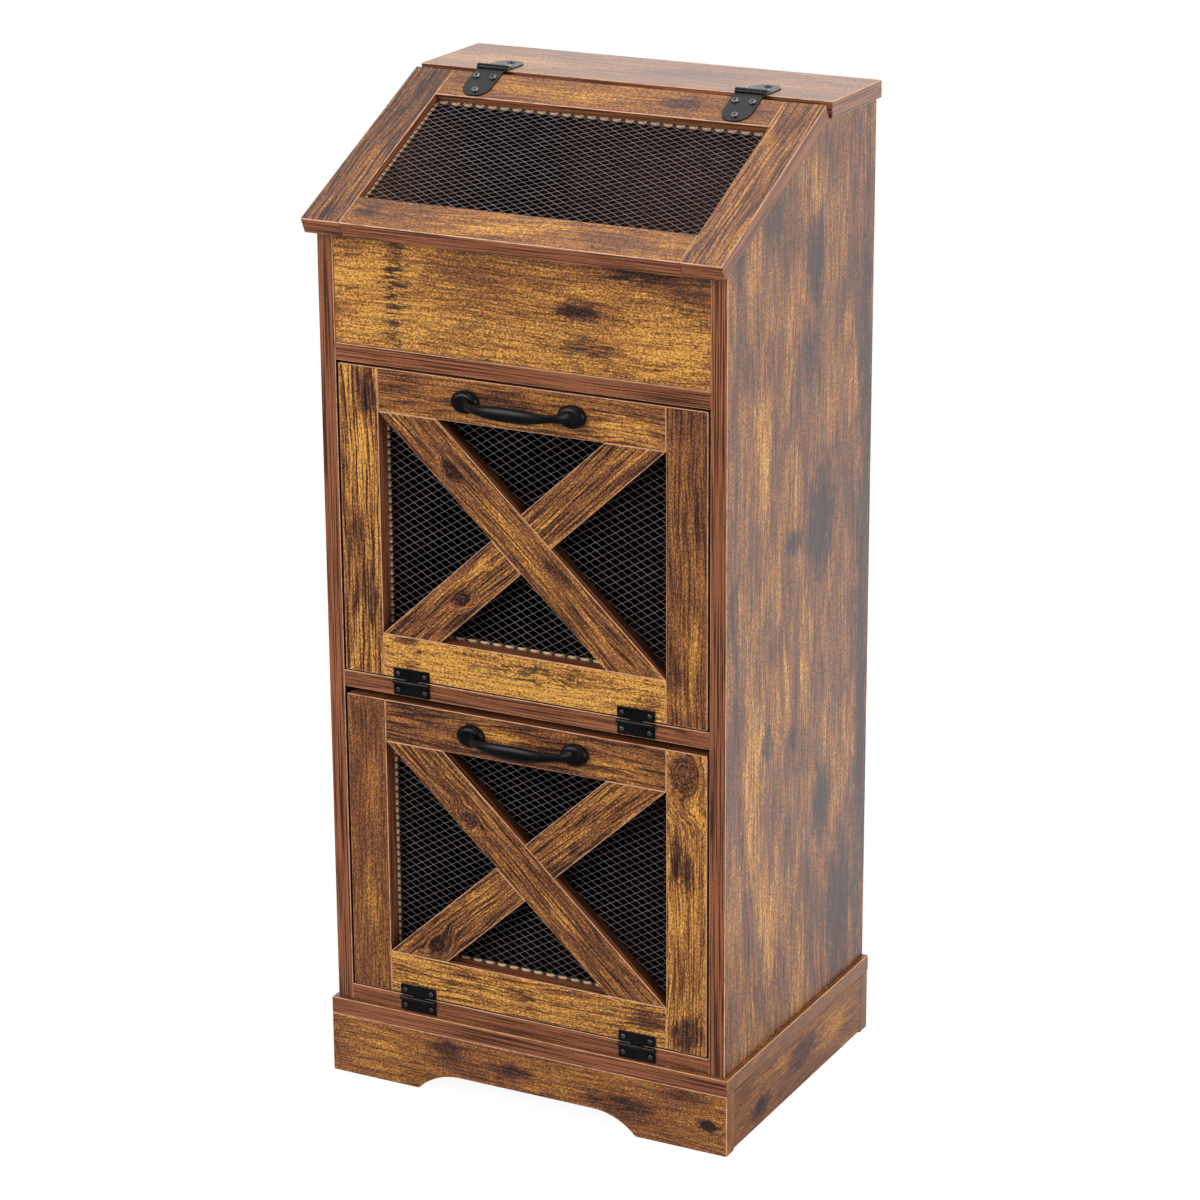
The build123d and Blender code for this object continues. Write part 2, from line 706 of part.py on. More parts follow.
def make_catch(door, door_top, shelf_above):
    """A magnetic catch under the shelf above, and its strike plate on the door."""
    strike_back = board + strike_thickness
    strike_top = door_top - strike_top_inset
    strike = block(
        (-strike_width / 2, board, strike_top - strike_height),
        (strike_width / 2, strike_back, strike_top),
    )
    at = (0, strike_back, strike_top - strike_height / 2)
    from_behind = Plane(at, z_dir=(0, 1, 0)).location
    hole = from_behind * countersink(*strike_screw, wood_screw_length)
    add(door + "_screws", from_behind * flat_head_screw(*strike_screw, wood_screw_length))
    cut(door + "_rail_top", hole)
    parts[door + "_strike_plate"] = strike - hole

    front = strike_back + catch_air_gap
    under = shelf_heights[shelf_above] - board
    body_half_width = catch_magnet_width / 2 + catch_wall
    half_width_with_ears = body_half_width + catch_ear
    flange = block(
        (-half_width_with_ears, front, under - catch_flange),
        (half_width_with_ears, front + catch_depth, under),
    )
    body = block(
        (-body_half_width, front, under - catch_height),
        (body_half_width, front + catch_depth, under - catch_flange),
    )
    magnet_low = under - catch_height + catch_flange / 2
    magnet = block(
        (-catch_magnet_width / 2, front, magnet_low),
        (catch_magnet_width / 2, front + catch_magnet_depth, magnet_low + catch_magnet_height),
    )
    housing = flange + body - magnet
    screw, hole = pan_screw_and_hole(small_screw, wood_screw_length)
    for side in (-1, 1):
        ear_x = side * (body_half_width + catch_ear / 2)
        from_below = Pos(ear_x, front + catch_depth / 2, under - catch_flange) * Rot(180, 0, 0)
        housing -= from_below * hole
        add("cabinet_screws", from_below * screw)
        cut(shelf_above, from_below * hole)
    add("catch_housings", housing)
    add("catch_magnets", magnet)


# ---- Lid ----


def make_lid():
    joint_x = lid_half_width - lid_stile_width
    back_rail_front = lid_length - lid_back_rail_width
    rails = (("lid_rail_front", 0, lid_front_rail_width), ("lid_rail_back", back_rail_front, lid_length))
    # The dowels keep to the part of each rail that is not rebated
    whole_parts = {
        "lid_rail_front": (0, lid_front_rail_width - lid_rebate_width),
        "lid_rail_back": (back_rail_front + lid_rebate_width, lid_length),
    }
    rebate = lid_place * block(
        (-joint_x - lid_rebate_width, lid_front_rail_width - lid_rebate_width, -board),
        (joint_x + lid_rebate_width, back_rail_front + lid_rebate_width, -lid_mesh_depth),
    )
    for name, side in (("left", -1), ("right", 1)):
        edges = sorted((side * joint_x, side * lid_half_width))
        stile = "lid_stile_" + name
        parts[stile] = lid_place * broken(block((edges[0], 0, -board), (edges[1], lid_length, 0)))
        cut(stile, rebate)
        for rail, (start, end) in whole_parts.items():
            for share in rail_dowel_shares:
                at = lid_point(side * joint_x, start + (end - start) * share, -board / 2)
                dowel_joint("lid_dowels", at, (-side, 0, 0), stile, rail)
        lid_hinge(side * lid_hinge_x)
    for rail, start, end in rails:
        parts[rail] = lid_place * broken(block((-joint_x, start, -board), (joint_x, end, 0)))
        cut(rail, rebate)
    mesh_half_width = joint_x + lid_mesh_overlap
    mesh_under = -lid_mesh_depth - mesh_thickness
    parts["lid_mesh"] = lid_place * block(
        (-mesh_half_width, lid_front_rail_width - lid_mesh_overlap, mesh_under),
        (mesh_half_width, back_rail_front + lid_mesh_overlap, -lid_mesh_depth),
    )


def lid_point(x, along, height):
    """A point of the flat lid, carried to its place on the slope."""
    return tuple((lid_place * Pos(x, along, height)).position)


# ---- Build and save ----


def save(node, shape):
    """Takes out a node's holes, centres it over the base and writes it."""
    solids = shape if isinstance(shape, list) else [shape]
    if node in cuts:
        solids = [solid - cuts[node] for solid in solids]
    whole = solids[0] if len(solids) == 1 else Compound(solids)
    export_step(Pos(0, -origin_y, 0) * whole, "parts/" + node + ".step")


make_plinth()
make_carcass()
make_door("lower_door", "bottom_shelf", "middle_shelf")
make_door("upper_door", "middle_shelf", "upper_shelf")
make_lid()

os.makedirs("parts", exist_ok=True)
for node_name, node_shape in parts.items():
    save(node_name, node_shape)
print(len(parts), "nodes; origin", round(origin_y, 3), "behind the front plane")
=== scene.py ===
import math
from functools import partial, reduce
from typing import NamedTuple

import bmesh
import bpy
from bpy.props import FloatProperty, FloatVectorProperty, IntProperty, PointerProperty
from mathutils import Matrix, Vector


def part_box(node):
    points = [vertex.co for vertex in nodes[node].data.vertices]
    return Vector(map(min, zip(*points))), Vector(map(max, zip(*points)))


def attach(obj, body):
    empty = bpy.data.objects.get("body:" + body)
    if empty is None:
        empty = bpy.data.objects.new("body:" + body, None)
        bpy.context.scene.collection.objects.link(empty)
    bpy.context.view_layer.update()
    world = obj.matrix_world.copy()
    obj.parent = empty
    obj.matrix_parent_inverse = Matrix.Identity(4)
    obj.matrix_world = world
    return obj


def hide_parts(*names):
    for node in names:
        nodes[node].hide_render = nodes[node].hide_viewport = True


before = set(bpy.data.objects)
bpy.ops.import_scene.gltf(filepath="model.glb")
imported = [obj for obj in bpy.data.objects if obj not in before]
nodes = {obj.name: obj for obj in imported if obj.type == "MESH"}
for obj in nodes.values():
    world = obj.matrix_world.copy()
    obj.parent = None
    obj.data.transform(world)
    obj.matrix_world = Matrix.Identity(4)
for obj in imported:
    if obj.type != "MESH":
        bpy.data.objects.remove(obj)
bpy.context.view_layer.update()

bl_info = {
    "name": "Potato Storage Bin",
    "version": (1, 0, 0),
    "blender": (4, 5, 0),
    "location": "3D View > Sidebar > Storage Bin",
    "description": "Dresses a potato storage bin: foiled boards, expanded mesh, black ironmongery",
    "category": "Object",
}

doors = ("upper_door", "lower_door")
panels = doors + ("lid",)


def srgb(red, green, blue):
    """A linear colour from the 0 to 255 values that a paint card gives."""
    parts = []
    for value in (red, green, blue):
        share = value / 255
        parts.append(share / 12.92 if share <= 0.04045 else ((share + 0.055) / 1.055) ** 2.4)
    return (*parts, 1.0)


# ---- Directions and measures taken from the frame ----


def slope_angle():
    """The lid's slope, from its two rails' places."""
    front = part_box("lid_rail_front")[1]
    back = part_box("lid_rail_back")[1]
    return math.atan2(back.z - front.z, back.y - front.y)


def extent(node, axis):
    """Where a node starts and ends along a direction."""
    along = [vertex.co.dot(axis) for vertex in nodes[node].data.vertices]
    return min(along), max(along)


def window(prefix, up):
    """The open part of a door's or the lid's frame, across and up."""
    names = {"lid": ("rail_front", "rail_back")}.get(prefix, ("rail_bottom", "rail_top"))
    across = Vector((1, 0, 0))
    left = extent(prefix + "_stile_left", across)[1]
    right = extent(prefix + "_stile_right", across)[0]
    low = extent(prefix + "_" + names[0], up)[1]
    high = extent(prefix + "_" + names[1], up)[0]
    return left, right, low, high


slope = slope_angle()


def brace_angle():
    """How steeply the long braces run, from the way their longest side faces."""
    faces = nodes["upper_door_brace_long"].data.polygons
    sides = [face for face in faces if abs(face.normal.y) < 0.1]
    normal = max(sides, key=lambda face: face.area).normal
    return math.atan2(abs(normal.x), abs(normal.z))


brace = brace_angle()
directions = {
    "across": Vector((1, 0, 0)),
    "left": Vector((-1, 0, 0)),
    "back": Vector((0, 1, 0)),
    "up": Vector((0, 0, 1)),
    "down": Vector((0, 0, -1)),
    "front": Vector((0, -1, 0)),
    "up_slope": Vector((0, math.cos(slope), math.sin(slope))),
    "off_slope": Vector((0, -math.sin(slope), math.cos(slope))),
    "long_brace": Vector((math.cos(brace), 0, -math.sin(brace))),
    "off_long_brace": Vector((math.sin(brace), 0, math.cos(brace))),
    "short_brace": Vector((math.cos(brace), 0, math.sin(brace))),
    "off_short_brace": Vector((-math.sin(brace), 0, math.cos(brace))),
}

# Each kind of board: which way its grain runs, which way is across it, and which way it faces
rail = ("across", "up", "front")
stile = ("up", "across", "front")
top = ("across", "back", "up")
shelf = ("across", "back", "down")
side = ("up", "back", "across")
left_side = ("up", "back", "left")
lid_rail = ("across", "up_slope", "off_slope")
lid_stile = ("up_slope", "across", "off_slope")
long_brace = ("long_brace", "off_long_brace", "front")
short_brace = ("short_brace", "off_short_brace", "front")
plinth_side = ("back", "up", "across")
back_rail = ("across", "up", "back")
back_stile = ("up", "across", "back")
left_plinth_side = ("back", "up", "left")

# How much painted shade darkens inner faces: on the doors and lid, in the carcass and in its top bin
panel_shade, carcass_shade, bin_shade = 0.55, 0.92, 0.50
# How much painted shade darkens the braces' sides behind their lit front
brace_shade = 0.75
# How far such painted shade takes to set in, in metres
shade_run = 0.002
# How squarely a spot must face: on a flat face, on a board's end, and on an arris
flat_facing, end_facing, arris_facing = 0.85, 0.7, 0.3
# How far across its strip a staple lies, as a share of the strip's width
staple_share = 0.55

# The camera's place, and where its right and its top point
camera_place = (1.49941, -2.87162, 1.52495)
camera_right = Vector((0.8878961, 0.4600075, -0.0057983))
camera_up = Vector((-0.1422989, 0.2866041, 0.9474224))
# Each lamp's place and size, and what they all point at
lamps = {
    "key": ((-1.5, -2.6, 1.9), (1.8, 1.8)),
    "side": ((2.6, -0.5, 1.3), (1.6, 1.8)),
    "top": ((0.2, 0.1, 2.7), (1.6, 1.4)),
}
lamp_target = Vector((0.0, 0.0, 0.45))
# How far the floor reaches, how bright it glows, and how much of what the camera sees is glow
floor_reach, floor_glow, floor_glow_share = 30.0, 1.12, 0.84
# How bright the floor and the room look in a mirror, in front of the part and behind it
floor_mirrored, room_mirrored = (0.05, 1.5), (0.12, 1.5)


# ---- How each board is printed ----


class Print(NamedTuple):
    """How one board is printed. Its parts are in the board's own directions."""

    kind: tuple
    tone: float  # 0 is the darkest brown and 1 the brightest honey
    lines: float  # how strong the grain lines are
    seed: int
    # Share along, share across, half length and half width in millimetres, and how much it
    # lightens, or darkens where below 0
    stains: list = []
    cracks: list = []  # the same, for patches of short dark checks
    knots: list = []  # share along, share across, radius in millimetres
    patches: float = 0.5  # how strong the clouds are
    grit: float = 1.0  # how strong the fine mottle is
    sheen: float = 0.32  # how strongly it shines
    highlight_width: float = 0.0005  # how wide the painted highlight line beside an arris is, in metres, or 0 for no highlight
    wrapped: float = 0.0  # 1 where the ends carry the print instead of the band


# What like boards share
shelf_print = partial(Print, kind=shelf, tone=0.36, lines=0.5)
brace_print = partial(Print, lines=1.15, patches=0.55, grit=1.1)
long_brace_print = partial(brace_print, kind=long_brace, tone=0.5)
short_brace_print = partial(brace_print, kind=short_brace, tone=0.48)

prints = {
    "front_panel": Print(
        kind=rail, tone=0.68, lines=0.55, patches=0.6, grit=1.2, seed=3,
        stains=[
            (0.16, 0.45, 70, 60, 0.12), (0.45, 0.15, 110, 25, 0.12), (0.88, 0.35, 45, 40, 0.15),
            (0.40, 0.76, 60, 22, -0.16), (0.30, 0.50, 40, 20, -0.04), (0.83, 0.90, 36, 10, -0.60),
            (0.66, 0.52, 20, 9, -0.62), (0.90, 0.76, 30, 12, -0.20), (0.97, 0.85, 22, 20, -0.20),
            (0.68, 0.22, 20, 7, -0.18), (0.06, 0.85, 20, 14, -0.18), (0.17, 0.80, 10, 20, -0.15),
        ],
        cracks=[(0.17, 0.50, 13, 60, 1.0), (0.68, 0.20, 26, 14, 0.9), (0.93, 0.65, 22, 26, 0.5),
                (0.35, 0.22, 50, 16, 0.45)],
    ),
    "side_left": Print(
        kind=left_side, tone=0.5, lines=0.6, patches=0.9, grit=0.6, seed=21,
        stains=[(0.8, 0.5, 90, 30, -0.25), (0.55, 0.3, 120, 25, 0.18), (0.3, 0.7, 110, 30, -0.2),
                (0.15, 0.3, 90, 24, 0.15)],
        knots=[(0.42, 0.35, 9)],
    ),
    "side_right": Print(
        kind=side, tone=0.5, lines=0.7, patches=1.4, grit=1.05, sheen=0.33, seed=8,
        stains=[
            (0.85, 0.58, 45, 18, -0.46), (0.755, 0.54, 28, 14, -0.44), (0.566, 0.65, 55, 28, -0.55),
            (0.556, 0.46, 11, 18, -0.55), (0.35, 0.28, 21, 11, -0.58), (0.335, 0.45, 10, 10, -0.40),
            (0.235, 0.66, 40, 18, -0.38), (0.095, 0.80, 80, 28, -0.50), (0.50, 0.955, 430, 15, -0.44),
            (0.93, 0.30, 30, 26, -0.25), (0.33, 0.18, 110, 24, 0.30), (0.68, 0.25, 80, 20, 0.28),
            (0.14, 0.30, 60, 26, 0.24), (0.43, 0.55, 60, 16, 0.26), (0.62, 0.05, 300, 10, -0.12),
        ],
        cracks=[(0.80, 0.10, 30, 12, 0.6), (0.38, 0.20, 26, 10, 0.4)],
    ),
    "top_board": Print(
        kind=top, tone=0.54, lines=0.45, sheen=0.5, seed=5,
        stains=[(0.15, 0.4, 70, 24, 0.20), (0.60, 0.5, 60, 22, -0.18), (0.85, 0.4, 40, 20, 0.10)],
    ),
    "bottom_shelf": shelf_print(seed=31),
    "middle_shelf": shelf_print(seed=32),
    "upper_shelf": shelf_print(seed=33),
    "plinth_plate": Print(kind=top, tone=0.54, lines=0.5, wrapped=1.0, seed=34),
    "plinth_front": Print(
        kind=rail, tone=0.57, lines=0.6, patches=0.45, wrapped=1.0, seed=12,
        stains=[
            (0.10, 0.45, 45, 22, 0.14), (0.30, 0.78, 20, 12, -0.42), (0.34, 0.52, 24, 9, -0.20),
            (0.47, 0.62, 24, 9, -0.42), (0.55, 0.22, 22, 10, -0.40), (0.65, 0.62, 34, 14, 0.10),
            (0.73, 0.52, 34, 8, -0.25), (0.88, 0.30, 36, 18, 0.02), (0.955, 0.46, 12, 7, -0.45),
            (0.88, 0.82, 30, 8, -0.20), (0.80, 0.45, 60, 24, -0.06),
        ],
        cracks=[(0.74, 0.50, 26, 12, 1.0), (0.42, 0.30, 20, 8, 0.6)],
        knots=[(0.955, 0.46, 5)],
    ),
    "plinth_back": Print(kind=back_rail, tone=0.50, lines=0.5, wrapped=1.0, seed=13),
    "back_panel": Print(
        kind=back_stile, tone=0.40, lines=0.5, patches=0.35, grit=0.7, sheen=0.2, highlight_width=0.0, seed=71,
    ),
    "plinth_side_left": Print(
        kind=left_plinth_side, tone=0.52, lines=0.5, highlight_width=0.0, seed=14,
        stains=[(0.3, 0.5, 40, 14, -0.2), (0.7, 0.5, 40, 14, 0.15)],
    ),
    "plinth_side_right": Print(
        kind=plinth_side, tone=0.55, lines=0.5, sheen=0.18, highlight_width=0.0, patches=0.7, grit=0.7, seed=15,
        stains=[(0.20, 0.30, 20, 12, -0.32), (0.53, 0.60, 30, 14, -0.34), (0.74, 0.55, 36, 16, 0.20),
                (0.40, 0.75, 26, 10, 0.12), (0.08, 0.7, 20, 14, -0.05)],
        knots=[(0.20, 0.34, 6)],
    ),
    "lid_stile_left": Print(
        kind=lid_stile, tone=0.33, lines=1.2, patches=0.4, seed=41,
        stains=[(0.25, 0.5, 50, 12, 0.18), (0.70, 0.4, 30, 10, -0.15), (0.9, 0.6, 24, 12, -0.12)],
    ),
    "lid_stile_right": Print(
        kind=lid_stile, tone=0.5, lines=1.1, patches=0.4, seed=42,
        stains=[(0.35, 0.4, 30, 8, 0.10), (0.85, 0.4, 20, 10, -0.16), (0.63, 0.5, 22, 8, 0.08)],
    ),
    "lid_rail_front": Print(
        kind=lid_rail, tone=0.58, lines=0.5, seed=43,
        stains=[(0.06, 0.55, 14, 8, -0.35), (0.45, 0.45, 40, 12, 0.24), (0.24, 0.6, 22, 9, -0.12),
                (0.80, 0.4, 36, 12, -0.12), (0.60, 0.7, 22, 6, 0.16)],
    ),
    "lid_rail_back": Print(
        kind=lid_rail, tone=0.57, lines=0.5, seed=44,
        stains=[(0.40, 0.5, 60, 14, 0.18), (0.72, 0.55, 22, 9, -0.34), (0.9, 0.4, 26, 10, -0.18),
                (0.08, 0.5, 22, 12, -0.08)],
    ),
    "upper_door_stile_left": Print(
        kind=stile, tone=0.62, lines=1.25, patches=0.55, seed=51,
        stains=[(0.92, 0.72, 24, 11, -0.50), (0.97, 0.2, 20, 7, 0.14), (0.74, 0.45, 26, 16, 0.16),
                (0.45, 0.35, 22, 10, -0.30), (0.30, 0.6, 26, 10, -0.16), (0.12, 0.5, 30, 16, 0.10)],
    ),
    "upper_door_stile_right": Print(
        kind=stile, tone=0.45, lines=0.8, patches=0.3, seed=52,
        stains=[(0.25, 0.6, 34, 9, 0.26), (0.08, 0.4, 16, 12, 0.20), (0.52, 0.5, 40, 12, 0.06),
                (0.88, 0.5, 30, 14, -0.04), (0.16, 0.2, 20, 6, -0.16)],
    ),
    "upper_door_rail_top": Print(
        kind=rail, tone=0.54, lines=0.9, patches=0.4, seed=53,
        stains=[(0.16, 0.5, 34, 14, -0.06), (0.42, 0.55, 34, 10, -0.30), (0.62, 0.25, 30, 8, 0.18),
                (0.85, 0.35, 34, 12, 0.28), (0.9, 0.85, 26, 5, -0.10)],
    ),
    "upper_door_rail_bottom": Print(
        kind=rail, tone=0.9, lines=0.6, grit=1.3, patches=0.35, seed=54,
        stains=[(0.08, 0.92, 12, 5, -0.45), (0.13, 0.70, 3, 2, -0.6), (0.10, 0.35, 8, 5, -0.3),
                (0.50, 0.30, 60, 10, 0.08), (0.95, 0.45, 12, 9, -0.30), (0.70, 0.75, 60, 8, -0.10)],
        cracks=[(0.55, 0.62, 70, 11, 0.9), (0.12, 0.6, 18, 10, 0.5)],
    ),
    "upper_door_brace_long": long_brace_print(
        seed=55,
        stains=[(0.25, 0.35, 14, 7, -0.25), (0.15, 0.6, 30, 10, -0.06), (0.5, 0.5, 50, 10, 0.10),
                (0.62, 0.7, 16, 6, -0.22), (0.80, 0.45, 26, 8, 0.10)],
        knots=[(0.24, 0.38, 4)],
    ),
    "upper_door_brace_short_top": short_brace_print(
        seed=56,
        stains=[(0.10, 0.5, 20, 10, 0.18), (0.55, 0.45, 26, 8, -0.10), (0.85, 0.6, 20, 9, 0.10)],
    ),
    "upper_door_brace_short_bottom": short_brace_print(
        seed=57,
        stains=[(0.58, 0.45, 13, 8, -0.34), (0.80, 0.6, 24, 8, 0.24), (0.25, 0.5, 24, 8, 0.06)],
        knots=[(0.58, 0.42, 4)],
    ),
    "lower_door_stile_left": Print(
        kind=stile, tone=0.48, lines=0.5, patches=0.25, seed=61,
        stains=[(0.70, 0.6, 30, 10, 0.12), (0.32, 0.5, 34, 10, 0.20), (0.93, 0.3, 18, 8, -0.14)],
    ),
    "lower_door_stile_right": Print(
        kind=stile, tone=0.7, lines=0.9, patches=0.7, seed=62,
        stains=[(0.66, 0.25, 24, 5, -0.42), (0.60, 0.55, 22, 5, -0.50), (0.45, 0.30, 24, 8, 0.08),
                (0.06, 0.5, 18, 16, -0.52), (0.28, 0.55, 30, 12, -0.12), (0.80, 0.7, 26, 8, 0.05)],
        cracks=[(0.64, 0.30, 26, 12, 0.6)],
        knots=[(0.925, 0.44, 12)],
    ),
    "lower_door_rail_top": Print(
        kind=rail, tone=0.42, lines=1.0, seed=63,
        stains=[(0.40, 0.62, 30, 8, 0.30), (0.45, 0.85, 24, 5, -0.20), (0.13, 0.75, 26, 7, -0.16),
                (0.82, 0.28, 44, 9, 0.26), (0.62, 0.7, 14, 6, -0.18), (0.2, 0.2, 24, 6, 0.10)],
    ),
    "lower_door_rail_bottom": Print(
        kind=rail, tone=0.75, lines=0.9, grit=1.2, patches=0.4, seed=64,
        stains=[(0.28, 0.78, 16, 5, -0.28), (0.48, 0.55, 14, 5, -0.30), (0.93, 0.60, 18, 9, -0.46),
                (0.20, 0.3, 40, 9, 0.08), (0.62, 0.3, 50, 9, 0.06)],
        cracks=[(0.48, 0.6, 20, 7, 0.8), (0.22, 0.45, 8, 8, 0.7)],
    ),
    "lower_door_brace_long": long_brace_print(
        seed=65,
        stains=[(0.10, 0.6, 30, 8, 0.12), (0.32, 0.5, 26, 8, -0.16), (0.55, 0.55, 40, 8, 0.06),
                (0.80, 0.5, 40, 14, -0.10)],
        cracks=[(0.12, 0.6, 30, 8, 0.8), (0.36, 0.5, 26, 8, 0.7)],
        knots=[(0.30, 0.32, 6)],
    ),
    "lower_door_brace_short_top": short_brace_print(
        seed=66,
        stains=[(0.15, 0.4, 22, 9, 0.18), (0.25, 0.25, 8, 5, -0.3), (0.70, 0.5, 26, 8, 0.12)],
    ),
    "lower_door_brace_short_bottom": short_brace_print(
        seed=67,
        stains=[(0.75, 0.6, 26, 9, 0.18), (0.30, 0.5, 26, 9, -0.08)],
        knots=[(0.30, 0.45, 6)],
    ),
}


# ---- Settings ----


def colour_setting(name, description, value):
    """A colour that a user may change."""
    return FloatVectorProperty(
        name=name, description=description, default=value, subtype="COLOR", size=4, min=0, max=1,
    )


def length_setting(name, description, value, low, high):
    """A length in metres that a user may change, between two limits."""
    return FloatProperty(
        name=name, description=description, default=value, unit="LENGTH", min=low, max=high,
    )


def power_setting(name, description, value):
    """A lamp's power in watts."""
    return FloatProperty(
        name=name, description=description, default=value, subtype="POWER", min=0, max=1000,
    )


class BIN_PG_foil(bpy.types.PropertyGroup):
    """The printed foil on every board"""

    shadow: colour_setting("Shadow", "Darkest stain in the print", srgb(44, 28, 25))
    dark: colour_setting("Dark brown", "Dark parts of the print", srgb(86, 51, 36))
    brown: colour_setting("Brown", "Middle brown of the print", srgb(124, 75, 43))
    honey: colour_setting("Honey", "Light parts of the print", srgb(168, 111, 50))
    bright: colour_setting("Bright honey", "Lightest parts of the print", srgb(212, 155, 70))
    # Painted shade: the colour that inner faces and the braces' sides are darkened to
    inner: colour_setting(
        "Inner faces", "What the faces turned inwards are darkened to", srgb(15, 10, 9))
    band: colour_setting("Edge band", "Colour of the banded edges", srgb(124, 73, 46))
    # Painted highlight: the colour of the light lines painted along the arrises
    arris: colour_setting("Arris", "Colour of the rubbed corner lines", srgb(232, 180, 140))
    lit_depth: length_setting(
        "Lit depth", "How deep the light reaches on the sides of the braces", 0.005, 0.0, 0.015)


class BIN_PG_mesh(bpy.types.PropertyGroup):
    """The expanded mesh and what holds it"""

    pitch_across: length_setting(
        "Diamond width", "From one bond to the next, across", 0.012, 0.004, 0.05)
    upper_door_pitch: length_setting(
        "Upper door's diamond height", "From one bond to the next, up", 0.0072, 0.003, 0.05)
    lower_door_pitch: length_setting(
        "Lower door's diamond height", "From one bond to the next, up", 0.00685, 0.003, 0.05)
    lid_pitch: length_setting(
        "Lid's diamond height", "From one bond to the next, up the slope", 0.00665, 0.003, 0.05)
    strand_width: length_setting(
        "Strand width", "Across a strand, in the sheet", 0.00042, 0.0003, 0.004)
    strand_thickness: length_setting(
        "Strand thickness", "Through a strand", 0.00038, 0.0003, 0.004)
    bond: length_setting(
        "Bond length", "How far two strands run side by side", 0.0009, 0.0002, 0.006)
    twist: FloatProperty(
        name="Strand twist", description="How far the strands are turned out of the sheet",
        subtype="ANGLE", default=math.radians(12), min=-1.5, max=1.5,
    )
    strip: colour_setting("Strip", "Colour of the strips' raw edges", srgb(250, 210, 166))
    strip_back: colour_setting("Strip back", "Colour of the strips' backs", srgb(112, 70, 42))
    strip_back_dark: colour_setting(
        "Strip back's flecks", "Dark flecks in the strips' backs", srgb(70, 42, 28))
    strip_width: length_setting(
        "Strip width", "Width of the strips that hold the mesh", 0.0075, 0.003, 0.03)
    strip_thickness: length_setting(
        "Strip thickness", "Thickness of the strips that hold the mesh", 0.002, 0.0005, 0.006)
    strip_show: length_setting(
        "Strip show", "How far a strip's edge stands into the window", 0.0014, 0.0, 0.006)
    strip_mitre: length_setting(
        "Mitre gap", "How far a strip's end stays from its corner", 0.0002, 0.0, 0.002)
    strip_ease: length_setting(
        "Strip's eased edge", "How far the strips' edges are taken off", 0.00025, 0.0, 0.001)
    staple_spacing: length_setting(
        "Staple spacing", "From one staple to the next", 0.048, 0.01, 0.2)
    staple_crown: length_setting("Staple crown", "Width of a staple", 0.0065, 0.003, 0.02)
    staple_leg: length_setting("Staple leg", "What shows of a staple's legs", 0.0015, 0.0, 0.01)
    staple_wire: length_setting("Staple wire", "Thickness of the wire", 0.0007, 0.0003, 0.002)
    staple_looseness: FloatProperty(
        name="Staple looseness", description="How far a staple may be turned from straight",
        subtype="ANGLE", default=0.12, min=0, max=1,
    )
    staple_seed: IntProperty(
        name="Staple seed", description="Which way each staple happens to be turned", default=7,
        min=0,
    )


class BIN_PG_metal(bpy.types.PropertyGroup):
    """Colours of the ironmongery and fittings"""

    black: colour_setting("Black coat", "Colour of the handles and hinges", srgb(9, 8, 12))
    screw: colour_setting("Black oxide", "Colour of the hinge screws", srgb(112, 110, 112))
    # Painted sheen: the mesh's black coat is given as a grey, lightened to stand in for the gloss on its
    # thin strands
    mesh: colour_setting("Mesh coat", "Colour of the mesh", srgb(106, 98, 102))
    zinc: colour_setting("Zinc", "Colour of the plated fittings", srgb(196, 196, 192))
    cast: colour_setting("Cast alloy", "Colour of the cams", srgb(178, 178, 180))
    plastic: colour_setting("Plastic", "Colour of the catches' housings", srgb(88, 56, 38))
    ferrite: colour_setting("Ferrite", "Colour of the catches' magnets", srgb(52, 50, 50))
    beech: colour_setting("Beech", "Colour of the dowels", srgb(214, 176, 130))


class BIN_PG_stage(bpy.types.PropertyGroup):
    """Floor, lights and camera"""

    floor: colour_setting("Floor", "Colour of the floor", (0.9, 0.9, 0.9, 1))
    key: power_setting("Key light", "Power of the large front light", 60.0)
    side: power_setting("Side light", "Power of the light on the right", 31.0)
    top: power_setting("Top light", "Power of the light overhead", 22.0)
    world: FloatProperty(
        name="Room light", description="Strength of the light from all round",
        default=0.36, min=0, max=5,
    )
    lens: FloatProperty(
        name="Lens", description="Focal length on a 36 mm sensor, in millimetres",
        default=117.968, min=20, max=400,
    )


# ---- Helpers for node trees ----


def feed(tree, node, inputs):
    """Links or sets a node's inputs."""
    for key, value in inputs.items():
        if isinstance(value, bpy.types.NodeSocket):
            tree.links.new(value, node.inputs[key])
        else:
            node.inputs[key].default_value = value


def add_node(tree, kind, inputs=None, **settings):
    """Adds a node, sets its settings, and links or sets its inputs."""
    made = tree.nodes.new(kind)
    for key, value in settings.items():
        setattr(made, key, value)
    feed(tree, made, inputs or {})
    return made


def output_of(tree, kind, inputs=None, **settings):
    """A new node's first output."""
    return add_node(tree, kind, inputs, **settings).outputs[0]


def calc(tree, operation, *values):
    """A Math node's result."""
    return output_of(tree, "ShaderNodeMath", dict(enumerate(values)), operation=operation)


def product(tree, *values):
    """Several values multiplied."""
    return reduce(lambda total, value: calc(tree, "MULTIPLY", total, value), values)


def added(tree, *values):
    """The sum of several values."""
    return reduce(lambda total, value: calc(tree, "ADD", total, value), values)


def less(tree, first, second):
    """The first value less the second."""
    return calc(tree, "SUBTRACT", first, second)


def swing(tree, value, amount):
    """A noise value turned to a swing round nought, of a given size."""
    return product(tree, less(tree, value, 0.5), amount)


def vector_calc(tree, operation, *values):
    """A Vector Math node's result, which is a number for a dot product or a length."""
    made = add_node(tree, "ShaderNodeVectorMath", dict(enumerate(values)), operation=operation)
    return made.outputs["Value" if operation in ("DOT_PRODUCT", "LENGTH") else "Vector"]


def combined(tree, *parts):
    """A vector from its parts."""
    return output_of(tree, "ShaderNodeCombineXYZ", dict(enumerate(parts)))


def separated(tree, vector):
    """A vector's three parts."""
    return add_node(tree, "ShaderNodeSeparateXYZ", {0: vector}).outputs


